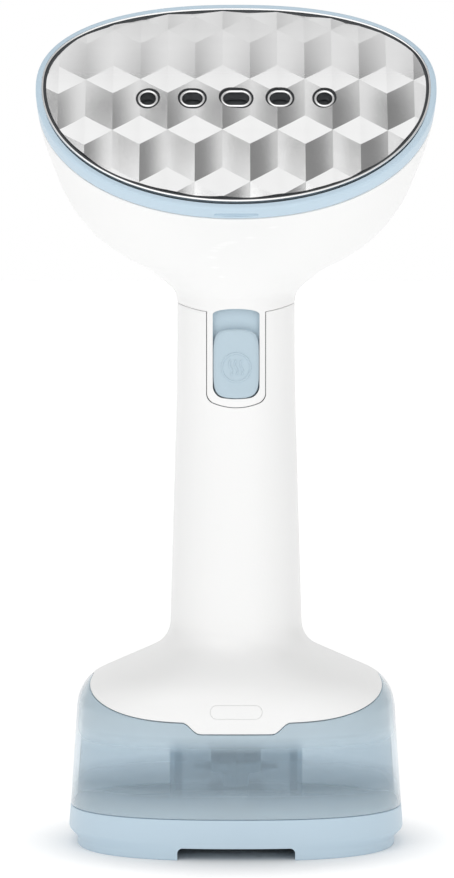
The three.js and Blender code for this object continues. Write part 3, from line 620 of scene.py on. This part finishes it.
RING_TOP = on_plate([0, RING_UP, 0])
RING_BOTTOM = on_plate([0, -RING_DOWN, 0])
REAR_LINE = [RING_TOP, RING_TOP - REAR_REACH * OUTWARD, REAR_BEND,
             np.array([0, half_depth(HANDLE_TOP), HANDLE_TOP])]
FRONT_LINE = [RING_BOTTOM, RING_BOTTOM - FRONT_REACH * OUTWARD, FRONT_BEND,
              np.array([0, -half_depth(HANDLE_TOP), HANDLE_TOP])]


def bezier(control, t):
    """A point on a cubic curve with four control points."""
    t = np.asarray(t, float)[..., None]
    a, b, c, d = control
    return (1 - t) ** 3 * a + 3 * t * (1 - t) ** 2 * b + 3 * t ** 2 * (1 - t) * c + t ** 3 * d


def bowl_point(angle, t):
    """The head's outer surface: t is 0 at the trim ring's face and 1 at the handle."""
    angle, t = np.broadcast_arrays(np.asarray(angle, float), np.asarray(t, float))
    front, rear = bezier(FRONT_LINE, t), bezier(REAR_LINE, t)
    length = np.linalg.norm(rear - front, axis=-1)
    span = (rear - front) / length[..., None]
    first = RING_DOWN / (RING_DOWN + RING_UP)
    share = first + (0.5 - first) * np.clip(t, 0, 1) ** BOWL_EASE
    middle = front + span * (length * share)[..., None]
    half = np.interp(middle[..., 2], *BOWL_WIDTHS)
    n = head_squareness(angle)
    e = 2 / (n + (HANDLE_SQUARENESS - n) * np.clip(t, 0, 1))
    reach = np.where(np.sin(angle) > 0, length * (1 - share), length * share)
    across = (half * power(np.cos(angle), e))[..., None] * RIGHT
    return middle + across + span * (reach * power(np.sin(angle), e))[..., None]


def normals_of(surface, angle, v, turn=2e-3, step=2e-3):
    """Outward normals of a surface by finite differences."""
    along = surface(angle + turn, v) - surface(angle - turn, v)
    up = surface(angle, v + step) - surface(angle, v - step)
    normal = np.cross(along, up)
    return normal / np.linalg.norm(normal, axis=-1)[..., None]


FILLET_STEPS = np.array([0.0, 0.08, 0.25, 0.5, 0.75, 1.0])


def edge_drop(distance, radius):
    """How far a rounded edge falls away at a distance from its brink."""
    inside = np.clip(radius - distance, 0, radius)
    return radius - np.sqrt(radius ** 2 - inside ** 2)


def moulded_shell(name, surface, angles, rows, thickness=WALL, closed=True, fillet=0.35):
    """A wall of even thickness behind surface(angle, v), v from 0 to 1, with rounded rims.

    An open shell has its two side rims on the plane y = 0, and is half a turn wide.
    """
    speed_low = np.linalg.norm(surface(angles, np.full_like(angles, 0.01)) -
                               surface(angles, np.zeros_like(angles)), axis=-1) / 0.01
    speed_high = np.linalg.norm(surface(angles, np.ones_like(angles)) -
                                surface(angles, np.full_like(angles, 0.99)), axis=-1) / 0.01
    low = fillet / speed_low
    high = 1 - fillet / speed_high
    levels = [low * s for s in FILLET_STEPS[:-1]]
    levels += [low + (high - low) * share for share in np.linspace(0, 1, rows)]
    levels += [1 - (1 - high) * s for s in FILLET_STEPS[:-1][::-1]]
    v = np.array(levels)
    a = np.broadcast_to(angles, v.shape)
    points = surface(a, v)
    normal = normals_of(surface, a, v)
    drop = edge_drop(np.minimum(v * speed_low, (1 - v) * speed_high), fillet)
    if not closed:
        side = 1 if points[0, len(angles) // 2, 1] > 0 else -1
        from_seam = np.abs(points[..., 1])
        drop = np.maximum(drop, edge_drop(np.maximum(0, from_seam - GAP / 2), fillet))
        for end in (0, -1):
            points[:, end, 1] = side * GAP / 2
            normal[:, end, 1] = 0
        normal /= np.linalg.norm(normal, axis=-1)[..., None]
    outer = points - normal * drop[..., None]
    inner = points - normal * thickness
    count, columns = v.shape
    faces = grid_faces(count, columns, closed)
    faces += grid_faces(count, columns, closed, start=count * columns, flip=True)
    offset = count * columns
    for c in range(columns if closed else columns - 1):
        n = (c + 1) % columns
        top = (count - 1) * columns
        join(faces, c, n, offset, flip=True)
        join(faces, top + c, top + n, offset)
    if not closed:
        for r in range(count - 1):
            join(faces, r * columns, (r + 1) * columns, offset)
            join(faces, (r + 2) * columns - 1, (r + 1) * columns - 1, offset)
    obj = make_mesh(name, np.concatenate([outer.reshape(-1, 3), inner.reshape(-1, 3)]), faces)
    return smooth(obj)


def turn(count):
    """Angles of a whole turn."""
    return np.linspace(0, 2 * np.pi, count, endpoint=False)


def half_turn(start, count):
    """Angles of half a turn, closer together at both ends, where the side seams are."""
    share = np.linspace(0, 1, count)
    ends = np.array([0.0008, 0.002, 0.004])
    share = np.unique(np.concatenate([share, ends, 1 - ends]))
    return start + share * np.pi


def between(low, high):
    """The body's surface between two heights that depend on the angle."""
    return lambda angle, v: body_point(angle, low(angle) + (high(angle) - low(angle)) * v)


def section(a, b, exponent, z, count=200):
    """A superellipse at one height."""
    angle = turn(count)
    return np.column_stack([a * power(np.cos(angle), 2 / exponent), b * power(np.sin(angle), 2 / exponent),
                            np.full(count, z)])


def stadium(x, y, width, height, segments=12):
    """A rounded slot's outline."""
    radius = min(width, height) / 2
    reach, rise = (width - 2 * radius) / 2, (height - 2 * radius) / 2
    points = []
    for quarter, (sx, sy) in enumerate([(1, 1), (-1, 1), (-1, -1), (1, -1)]):
        for i in range(segments + 1):
            a = (quarter + i / segments) * math.pi / 2
            points.append((x + sx * reach + radius * math.cos(a), y + sy * rise + radius * math.sin(a)))
    return [p for i, p in enumerate(points) if math.dist(p, points[i - 1]) > 1e-4]


def panel_outline(half, low, high, radius=3.0, sag=0.0, segments=10):
    """A tall outline in X and Z with round lower corners and a lower edge that sags in the middle."""
    left = [(-half + radius + radius * math.cos(a), low + radius + radius * math.sin(a))
            for a in np.linspace(math.pi, 1.5 * math.pi, segments)]
    middle = [(x, low) for x in np.linspace(-half + radius, half - radius, 12)[1:-1]]
    right = [(-x, z) for x, z in reversed(left)]
    sagged = [(x, z + sag * (x / half) ** 2) for x, z in left + middle + right]
    return [(half, high), (-half, high)] + sagged


# ------------------------------------------------------------------ head

COLUMN = 19.15 / 2        # half the pitch of the facets across the plate
ROW = 22.5                # pitch of the facets up the plate
DIAMOND = 13.6            # height of a bright diamond
LATTICE_X = 4.8
LATTICE_Y = -20.3
RELIEF = 0.75
CROWN, CROWN_HALF_WIDTH, CROWN_HALF_HEIGHT, CROWN_BELOW = 1.1, 72, 50, 8


def facet_column(x):
    """Points (height up the plate, relief) down one column: diamonds lean one way, walls the other."""
    k = (x - LATTICE_X) / COLUMN
    nearest = round(k)
    away = abs(k - nearest)
    points = []
    for row in range(-3, 4):
        centre = LATTICE_Y + row * ROW
        reach = (1 - away) if (nearest + row) % 2 == 0 else away
        half = DIAMOND / 2 * reach + 0.02
        next_half = DIAMOND / 2 * (1 - reach) + 0.02
        low_edge = RELIEF * (1 + reach ** 2)
        high_edge = RELIEF * (1 - reach) ** 2
        next_low_edge = RELIEF * (1 + (1 - reach) ** 2)
        for t in (0, 0.5, 1):
            points.append((centre - half + 2 * half * t, low_edge + (high_edge - low_edge) * t))
        wall_low, wall_high = centre + half, centre + ROW - next_half
        for t in (0.25, 0.5, 0.75):
            height = wall_low + (wall_high - wall_low) * t
            points.append((height, high_edge + (next_low_edge - high_edge) * t))
    return points


def crown(x, y):
    """How far the plate bulges, highest a little below its middle."""
    return CROWN * (1 - (x / CROWN_HALF_WIDTH) ** 2 - ((y + CROWN_BELOW) / CROWN_HALF_HEIGHT) ** 2)


def steam_plate():
    """The faceted metal plate, cut to its outline and pierced by the five slots."""
    steps = 8
    low, high = -9, 8
    xs = [LATTICE_X + COLUMN * (low + i / steps) for i in range((high - low) * steps + 1)]
    columns = [facet_column(x) for x in xs]
    top = [[(x, y, h - RELIEF + crown(x, y)) for y, h in column] for x, column in zip(xs, columns)]
    count, width = len(top), len(top[0])
    base = -PLATE_SHEET - 6
    points = np.array(top + [[(x, y, base) for x, y, _ in row] for row in top]).reshape(-1, 3)
    offset = count * width
    faces = grid_faces(count, width, False, flip=True)
    faces += grid_faces(count, width, False, start=offset)
    for r in range(count - 1):
        for edge in (0, width - 1):
            join(faces, r * width + edge, (r + 1) * width + edge, offset, flip=edge != 0)
    for c in range(width - 1):
        for edge in (0, count - 1):
            join(faces, edge * width + c, edge * width + c + 1, offset, flip=edge == 0)
    obj = make_mesh("steam_plate", points, faces)
    outline = prism("outline", plate_outline(-1.2)[:, :2], -PLATE_SHEET, 12, axis="z")
    boolean(obj, "INTERSECT", outline)
    holes = [prism("hole", stadium(x, SLOT_ROW, w + 0.1, SLOT_HEIGHT + 0.1), -5, 12, axis="z")
             for x, w in SLOTS]
    boolean(obj, "DIFFERENCE", *holes)
    place_on_plate(obj)
    return piece(smooth(obj, 3.2), "body", "plate_metal", "steam_plate")


def place_on_plate(obj):
    """Moves a piece drawn in the plate's frame into its place."""
    matrix = Matrix.Identity(4)
    for column, axis in enumerate((RIGHT, UP_PLATE, OUTWARD)):
        for row in range(3):
            matrix[row][column] = axis[row]
    matrix.translation = Vector(PLATE_CENTRE * MM)
    obj.data.transform(matrix)
    return obj


def band(name, profile, outline_of):
    """A closed band: each (grow, height) of the profile is one outline."""
    rings = [outline_of(grow) + np.array([0, 0, z]) for grow, z in profile]
    columns = len(rings[0])
    points = np.concatenate(rings + [rings[0]])
    obj = make_mesh(name, points, grid_faces(len(rings) + 1, columns, True))
    return tidy_mesh(obj)


def round_rim(inner, outer, low, high, radius, steps=6):
    """The section of a bar with a rounded top, as (grow, height) pairs."""
    section_points = [(inner, low), (outer, low)]
    for i in range(steps + 1):
        a = i / steps * math.pi / 2
        section_points.append((outer - radius + radius * math.cos(a), high - radius + radius * math.sin(a)))
    for i in range(steps + 1):
        a = (1 + i / steps) * math.pi / 2
        section_points.append((inner + radius + radius * math.cos(a), high - radius + radius * math.sin(a)))
    return section_points


def plate_rim():
    """The bright edge of the plate."""
    obj = band("steam_plate_rim", round_rim(-0.25, 0.5, -1.6, 0.45, 0.35), plate_outline)
    return piece(smooth(place_on_plate(obj)), "body", "chrome_rim")


def plate_seal():
    """The dark line between plate and ring."""
    obj = band("plate_seal", round_rim(-1.15, -0.3, -2.4, 0.0, 0.2), plate_outline)
    return piece(smooth(place_on_plate(obj)), "body", "dark_rubber", "plate_seal")


def steam_nozzle(index, x, width):
    """A polished rim round one steam slot, with the slot's wall behind it."""
    def outline(grow):
        points = stadium(x, SLOT_ROW, width + 2 * grow, SLOT_HEIGHT + 2 * grow)
        return np.column_stack([points, np.zeros(len(points))])
    profile = [(-0.6, -3.6), (-0.6, 0.35)]
    for i in range(9):
        a = i / 8 * math.pi
        profile.append((-1.05 + 0.45 * math.cos(a), 0.35 + 0.45 * math.sin(a)))
    profile += [(-1.5, -3.6)]
    name = f"steam_nozzle_{index}"
    obj = place_on_plate(band(name, profile, outline))
    piece(smooth(obj, 50), "body", "chrome_rim", name)
    # A dark ring behind the gap round the rim: painted shadow for that gap.
    gap_shade = place_on_plate(band(name + "_collar", [(-0.6, -1.2), (0.05, -1.2), (0.05, -0.25), (-0.6, -0.25)],
                                 outline))
    return piece(smooth(gap_shade), "body", "dark_rubber")


def slot_shade_backing():
    """A dark sheet behind the slots: painted shade for the inside of the steam chamber, seen through the
    slots.
    """
    obj = prism("slot_shade_backing", stadium(0, SLOT_ROW, 76, 12), -5.0, -4.2, axis="z")
    return piece(smooth(place_on_plate(obj)), "body", "dark_rubber")


def trim_ring():
    """The blue ring round the plate, with a shallow slot in the middle of its lower edge."""
    def surface(angle, v):
        return bowl_point(angle, ring_end(angle) * (1 - v))
    obj = moulded_shell("trim_ring", surface, turn(280), 14, thickness=RING_WALL, fillet=RING_FILLET)
    mark = bowl_point(np.array(-np.pi / 2), np.array(RING_MARK_AT))
    tool = prism("slot", stadium(0, 0, RING_MARK_WIDTH, RING_MARK_HEIGHT), AHEAD, -20)
    # The slot is only a shallow mark: its tool stops just under the ring's surface.
    for vertex in tool.data.vertices:
        vertex.co.z += mark[2] * MM
        vertex.co.y = min(vertex.co.y, (mark[1] + RING_MARK_DEPTH) * MM)
    boolean(obj, "DIFFERENCE", tool)
    return piece(smooth(obj), "body", "blue_plastic", "trim_ring")


def head_shell():
    """The white bowl, which turns into the handle over the last part of its length."""
    def surface(angle, v):
        start = ring_end(angle) + RING_JOINT
        along = start + (1 - start) * np.clip(v / NECK_START, None, 1)
        bowl = bowl_point(angle, along)
        neck = body_point(angle, head_seam(angle) + SEAM)
        blend = np.clip((v - NECK_START) / (1 - NECK_START), 0, None)[..., None]
        return bowl + (neck - bowl_point(angle, np.ones_like(v))) * blend

    def downwards(angle, v):
        return surface(angle, 1 - np.asarray(v, float))
    obj = moulded_shell("head_shell", downwards, turn(280), 130)
    boolean(obj, "DIFFERENCE", prism("window", window_outline(), AHEAD, -15))
    return piece(smooth(obj), "body", "white_plastic", "head_shell")


# ------------------------------------------------------------------ handle

def handle_half(name, start):
    """One half of the handle and skirt, from the tank's seam up to the head's."""
    surface = between(lambda a: split_height(a) + GAP / 2, lambda a: head_seam(a) - SEAM)
    return moulded_shell(name, surface, half_turn(start, 160), 220, closed=False)


def surround(grow, high):
    """The U-shaped outline of the panel round the trigger, grown evenly."""
    return panel_outline(PANEL_HALF + grow, PANEL_LOW - grow, high, PANEL_CORNER, PANEL_SAG)


def handle_front_shell():
    obj = handle_half("handle_front_shell", np.pi)
    opening = prism("opening", surround(PANEL_OUTSET, 215), -40, -5)
    hole = stadium(0, RELEASE_Z, 2 * (RELEASE_HALF + SEAM), 2 * (RELEASE_HALF_HEIGHT + SEAM))
    release = prism("release", hole, AHEAD, -30)
    boolean(obj, "DIFFERENCE", opening, release)
    return piece(smooth(obj), "body", "white_plastic", "handle_front_shell")


def handle_rear_shell():
    obj = handle_half("handle_rear_shell", 0.0)
    gland = rod("gland_hole", GLAND_BORE, 10, 40, "y", (0, 0, GLAND_Z))
    screw = rod("screw_hole", SCREW_BORE, 17, 30, "y", (0, 0, SCREW_Z))
    boolean(obj, "DIFFERENCE", gland, screw)
    return piece(smooth(obj), "body", "white_plastic", "handle_rear_shell")


def skin(name, outline, low, high, inset=2.0):
    """A piece of the body's front wall inside an outline in X and Z."""
    angles = np.linspace(np.pi * 1.1, np.pi * 1.9, 160)
    a, share = np.meshgrid(angles, np.linspace(0, 1, 90))
    z = low + ((high(a) if callable(high) else high) - low) * share
    outer, inner = body_point(a, z), body_point(a, z, -inset)
    count, columns = a.shape
    points = np.concatenate([outer.reshape(-1, 3), inner.reshape(-1, 3)])
    offset = count * columns
    faces = grid_faces(count, columns, False) + grid_faces(count, columns, False, start=offset, flip=True)
    for c in range(columns - 1):
        top = (count - 1) * columns
        join(faces, c, c + 1, offset, flip=True)
        join(faces, top + c, top + c + 1, offset)
    for r in range(count - 1):
        for edge in (0, columns - 1):
            join(faces, r * columns + edge, (r + 1) * columns + edge, offset)
    obj = tidy_mesh(make_mesh(name, points, faces))
    return boolean(obj, "INTERSECT", prism("outline", outline, AHEAD, -2))


def window_outline():
    """The opening the trigger button looks out of: its top is arched and runs up into the head."""
    half = TRIGGER_HALF + WINDOW_CLEARANCE
    shoulder = WINDOW_HIGH - WINDOW_ARCH
    outline = panel_outline(half, TRIGGER_LOW - WINDOW_CLEARANCE, shoulder, WINDOW_CORNER, 1.0)
    top = [(half * math.cos(a), shoulder + WINDOW_ARCH * math.sin(a) ** 0.8)
           for a in np.linspace(0, np.pi, 25)[1:-1]]
    return outline[:1] + top + outline[1:]


def trigger_panel():
    """The white surround of the trigger, which covers the rounded edge of the head above it."""
    def top(angle):
        return head_seam(angle) + SEAM + HEAD_EDGE
    obj = skin("trigger_panel", surround(-PANEL_INSET, 230), 150, top)
    boolean(obj, "DIFFERENCE", prism("window", window_outline(), AHEAD, 0))
    return piece(smooth(obj), "body", "white_plastic", "trigger_panel")


def trigger_guide():
    """The plate behind the button, slotted for its stem."""
    obj = box("trigger_guide", (-GUIDE_HALF, -GUIDE_FAR, GUIDE_LOW), (GUIDE_HALF, -GUIDE_NEAR, GUIDE_HIGH))
    slot = box("slot", (-GUIDE_SLOT_HALF, -20, GUIDE_SLOT_LOW), (GUIDE_SLOT_HALF, -10, GUIDE_SLOT_HIGH))
    boolean(obj, "DIFFERENCE", slot)
    # The guide's lighter blue is painted light over the shade of its deep recess.
    return piece(smooth(obj), "body", "blue_plastic", "trigger_guide", look=RECESS_LIGHTENED)


def front_of_handle(x, z):
    """How far the handle's surface is in front of its axis."""
    ratio = np.clip(np.abs(x) / half_width(z), 0, 1)
    return half_depth(z) * (1 - ratio ** HANDLE_SQUARENESS) ** (1 / HANDLE_SQUARENESS)


def button_dish(inset):
    """How far the button's face is hollowed at a distance from its edge."""
    return BUTTON_DISH * smoothstep(inset, BUTTON_EDGE, TRIGGER_HALF)


def button_ring(inset, height, count=128):
    """One ring of the trigger button's crowned face: inset from its outline, and how far it stands proud."""
    angle = turn(count)
    half, tall = TRIGGER_HALF - inset, (TRIGGER_HIGH - TRIGGER_LOW) / 2 - inset
    middle = (TRIGGER_HIGH + TRIGGER_LOW) / 2
    x = half * power(np.cos(angle), 2 / BUTTON_SQUARENESS)
    z = middle + tall * power(np.sin(angle), 2 / BUTTON_SQUARENESS)
    z -= np.sign(np.sin(angle)) * BUTTON_SAG * (x / TRIGGER_HALF) ** 2 * (tall / TRIGGER_HALF)
    return np.column_stack([x, -(front_of_handle(x, z) + height), z])


def trigger_button():
    rings = []
    for i in range(9):
        a = i / 8 * math.pi / 2
        height = BUTTON_PROUD - BUTTON_EDGE + BUTTON_EDGE * math.sin(a)
        rings.append(button_ring(BUTTON_EDGE * (1 - math.cos(a)), height))
    for inset in np.linspace(BUTTON_EDGE, TRIGGER_HALF - 0.15, 12)[1:]:
        rings.append(button_ring(inset, BUTTON_PROUD - button_dish(inset)))
    back = button_ring(0, -4)
    back[:, 1] = -TRIGGER_BACK
    obj = smooth(tidy_mesh(loft("trigger_button", [back] + rings)), 50)
    # The button's darker blue is painted shade.
    return piece(obj, "trigger_button", "blue_plastic", "trigger_button", look=BUTTON_DARKENED)


def trigger_stem():
    obj = box("trigger_stem", (-STEM_HALF, -TRIGGER_BACK - 0.2, STEM_LOW), (STEM_HALF, -STEM_END, STEM_HIGH))
    return piece(obj, "trigger_button", "blue_plastic")


def steam_mark():
    """A generic mark of three rising wisps in a ring, raised on the button."""
    wires = []
    for x0 in (-WISP_PITCH, 0.0, WISP_PITCH):
        wires.append([(x0 + WISP_SWAY * math.sin(t * 2 * math.pi), MARK_Z + WISP_HEIGHT * (t - 0.5))
                      for t in np.linspace(0, 1, 25)])
    wires.append([(MARK_RADIUS * math.cos(a), MARK_Z + MARK_RADIUS * math.sin(a))
                  for a in np.linspace(0, 2 * np.pi, 49)])
    for index, wire in enumerate(wires, 1):
        points = []
        for x, z in wire:
            height = MARK_PROUD - float(button_dish(TRIGGER_HALF - abs(x)))
            points.append((x, -(float(front_of_handle(x, z)) + height), z))
        obj = pipe(f"trigger_mark_{index}", points, MARK_WIRE, segments=8)
        # The mark takes the button's darker blue, painted shade.
        piece(obj, "trigger_button", "blue_plastic", look=BUTTON_DARKENED)


def release_button():
    obj = skin("tank_release_button", stadium(0, RELEASE_Z, 2 * RELEASE_HALF, 2 * RELEASE_HALF_HEIGHT),
               RELEASE_Z - 4, RELEASE_Z + 4, inset=4.0)
    return piece(smooth(obj), "tank_release_button", "white_plastic", "tank_release_button")


def cord_gland():
    profile = [(3.6, 18), (5.9, 18), (5.9, 25.6), (8, 25.6), (8, 27.4), (6.6, 30), (3.6, 30), (3.6, 18)]
    obj = turned("cord_gland", rounded(profile, 0.5), axis="y", at=(0, 0, GLAND_Z))
    return piece(smooth(obj), "body", "dark_rubber", "cord_gland")


# ------------------------------------------------------------------ tank

def tank_shell():
    """The tank's wall, with its filling hole and the two lugs of the door's hinge at the rear."""
    surface = between(lambda a: np.full_like(a, CAP_SEAM + SEAM), lambda a: split_height(a) - GAP / 2)
    obj = moulded_shell("tank_shell", surface, turn(280), 70)
    hole = rod("fill_hole", FILL_HOLE, 30, 60, "y", (0, 0, FILL_Z))
    lugs = [box("lug", (x - LUG_HALF, 42, 17.5), (x + LUG_HALF, 48.4, 21.7)) for x in (-LUG_X, LUG_X)]
    boolean(obj, "DIFFERENCE", hole)
    boolean(obj, "UNION", *lugs)
    boolean(obj, "DIFFERENCE", rod("pin_hole", HINGE_BORE, -20, 20, "x", HINGE_AT, 24))
    return piece(smooth(obj), "tank", "clear_tank", "tank_shell")


def base_cap():
    """The opaque cap under the tank, with its floor and front notch."""
    def half_sizes(z):
        foot = 1 - smoothstep(z, CAP_FOOT_STRAIGHT, CAP_STEP)
        full = half_width(z)
        return full + (CAP_FOOT_HALF_WIDTH + CAP_FOOT_OUTSET - full) * foot, half_depth(z)

    def surface(angle, v):
        z = np.clip((CAP_SEAM - SEAM) * v, 0, None)
        a, b = half_sizes(z)
        e = 2 / TANK_SQUARENESS
        return np.stack(np.broadcast_arrays(a * power(np.cos(angle), e), b * power(np.sin(angle), e), z), -1)
    obj = moulded_shell("base_cap", surface, turn(280), 30, thickness=CAP_WALL, fillet=0.4)
    for vertex in obj.data.vertices:
        vertex.co.z = max(vertex.co.z, 0)
    levels = ((CAP_FOOT_HALF_WIDTH - 1.4, CAP_FLOOR_LOW), (half_width(CAP_FLOOR_HIGH) - 2.0, CAP_FLOOR_HIGH))
    inner = [section(half, half_depth(z) - 1.4, TANK_SQUARENESS, z) for half, z in levels]
    boolean(obj, "UNION", loft("floor", inner))
    notch = [(x, -z) for x, z in panel_outline(NOTCH_HALF, -NOTCH_TOP, 4.0, NOTCH_CORNER)]
    boolean(obj, "DIFFERENCE", prism("notch", notch, AHEAD, -30))
    return piece(smooth(obj), "tank", "blue_plastic", "base_cap")


def fill_door():
    """The filling door with its plug, its hinge and the tab it is opened by."""
    flap = prism("fill_door", stadium(0, FILL_Z, DOOR_WIDTH, DOOR_HEIGHT), DOOR_NEAR, DOOR_FAR)
    plug = turned("plug", [(0, 41.4), (5.8, 41.4), (6.2, 41.9), (6.2, 45.2), (0, 45.2), (0, 41.4)], axis="y",
                  at=(0, 0, FILL_Z))
    arm = box("arm", (-8, DOOR_NEAR, 20), (8, 46.5, 24))
    barrel = rod("barrel", BARREL_RADIUS, -BARREL_HALF, BARREL_HALF, "x", HINGE_AT)
    tab = box("tab", (-5, 45.2, 39.8), (5, 48.4, 41.6))
    boolean(flap, "UNION", plug, arm, barrel, tab)
    boolean(flap, "DIFFERENCE", rod("bore", HINGE_BORE, -20, 20, "x", HINGE_AT, 24))
    return piece(smooth(flap), "fill_door", "blue_plastic", "fill_door")


# ------------------------------------------------------------------ CAD nodes that stay

def carried_over():
    """Gives every CAD node that still shows its material and smooth shading."""
    slots = {entry["node"]: entry["material_slot"] for entry in frame["record"]["subparts"]}
    for name, obj in frame["nodes"].items():
        if obj.hide_render:
            continue
        obj.data.materials.clear()
        obj.data.materials.append(SPECIAL.get(name, MATERIALS[slots[name]]))
        smooth(obj, 40)


# ------------------------------------------------------------------ studio

FLOOR_REACH = 6.0                            # metres, like every length in this section
GLOW_START, GLOW_END, GLOW = 0.041, 0.088, 0.42
SKY = [(0.0, 1.0), (0.6, 1.0), (0.85, 0.33), (0.9, 0.17), (0.928, 0.3), (0.948, 0.62), (0.968, 0.95),
       (1.0, 1.05)]                          # (height of the direction, brightness)
STRIP_START, STRIP_END, STRIP_GLOW = 0.03, 0.26, 0.8
WALL_START, WALL_END, WALL_SHADE = 0.35, 0.95, 0.62
LAMPS = [("key", (-0.35, -0.9, 1.15), 1.0, 2.75), ("fill", (0.6, -1.5, 0.4), 1.2, 1.0)]
LAMP_TARGET = (0, 0, 0.15)
LENS, SENSOR_WIDTH = 173.3, 36.0             # millimetres
CAMERA_PLACE, CAMERA_TARGET = (-0.0032, -1.5, 0.25), (-0.0032, 0, 0.1438)


def looking(name, data, where, target):
    """Puts a lamp or camera in its place, turned towards a target."""
    holder = add_object(name, data)
    holder.location = where
    holder.rotation_euler = (Vector(target) - Vector(where)).to_track_quat("-Z", "Y").to_euler()
    return holder


def studio_floor():
    """A white floor that glows further out, so that only the shadow near the steamer shows: it is partly the
    real contact shadow and partly painted shade, where the glow fades out towards the base.
    """
    mesh = bpy.data.meshes.new("floor")
    corners = [(x * FLOOR_REACH, y * FLOOR_REACH, 0) for x, y in ((-1, -1), (1, -1), (1, 1), (-1, 1))]
    mesh.from_pydata(corners, [], [(0, 1, 2, 3)])
    floor = add_object("floor", mesh)
    mat = material("floor", (0.9, 0.9, 0.9), 0.8, Emission_Color=(1, 1, 1, 1))
    tree = mat.node_tree
    place = node(tree, "ShaderNodeTexCoord")
    distance = node(tree, "ShaderNodeVectorMath", operation="LENGTH")
    tree.links.new(place.outputs["Object"], distance.inputs[0])
    # Painted shade: the glow fades out towards the steamer, which darkens the floor round its base on top of
    # the real contact shadow.
    glow = ramped(tree, distance.outputs["Value"], GLOW_START, GLOW_END, high=GLOW)
    tree.links.new(glow, principled(mat).inputs["Emission Strength"])
    mesh.materials.append(mat)


def sky():
    """The light from around, by direction."""
    world = bpy.data.worlds.new("studio")
    bpy.context.scene.world = world
    world.use_nodes = True
    tree = world.node_tree
    across, up = directions(tree, "Generated")
    gradient = colour_ramp(tree, up, SKY)
    sideways = calculated(tree, "ABSOLUTE", across)
    # A long strip light overhead, from front to rear, lights the plate's facets.
    strip = ramped(tree, sideways, STRIP_START, STRIP_END, STRIP_GLOW, 0.0)
    brighter = calculated(tree, "MAXIMUM", strip, gradient)
    # The studio's side walls are a little darker, which shades the body's edges.
    walls = ramped(tree, sideways, WALL_START, WALL_END, 1.0, WALL_SHADE)
    background = tree.nodes["Background"]
    tree.links.new(calculated(tree, "MULTIPLY", brighter, walls), background.inputs["Color"])
    background.inputs["Strength"].default_value = 1.0


def studio():
    bpy.context.scene.view_settings.view_transform = "Standard"
    studio_floor()
    sky()
    for name, where, size, energy in LAMPS:
        lamp = bpy.data.lights.new(name, "AREA")
        lamp.size = size
        lamp.energy = energy
        looking(name, lamp, where, LAMP_TARGET)


def camera():
    data = bpy.data.cameras.new("camera")
    data.lens = LENS
    data.sensor_width = SENSOR_WIDTH
    bpy.context.scene.camera = looking("camera", data, CAMERA_PLACE, CAMERA_TARGET)


camera()
studio()
steam_plate()
plate_rim()
plate_seal()
for number, (slot_x, slot_width) in enumerate(SLOTS, 1):
    steam_nozzle(number, slot_x, slot_width)
slot_shade_backing()
trim_ring()
head_shell()
handle_front_shell()
handle_rear_shell()
trigger_panel()
trigger_guide()
trigger_button()
trigger_stem()
steam_mark()
release_button()
cord_gland()
tank_shell()
base_cap()
fill_door()
carried_over()
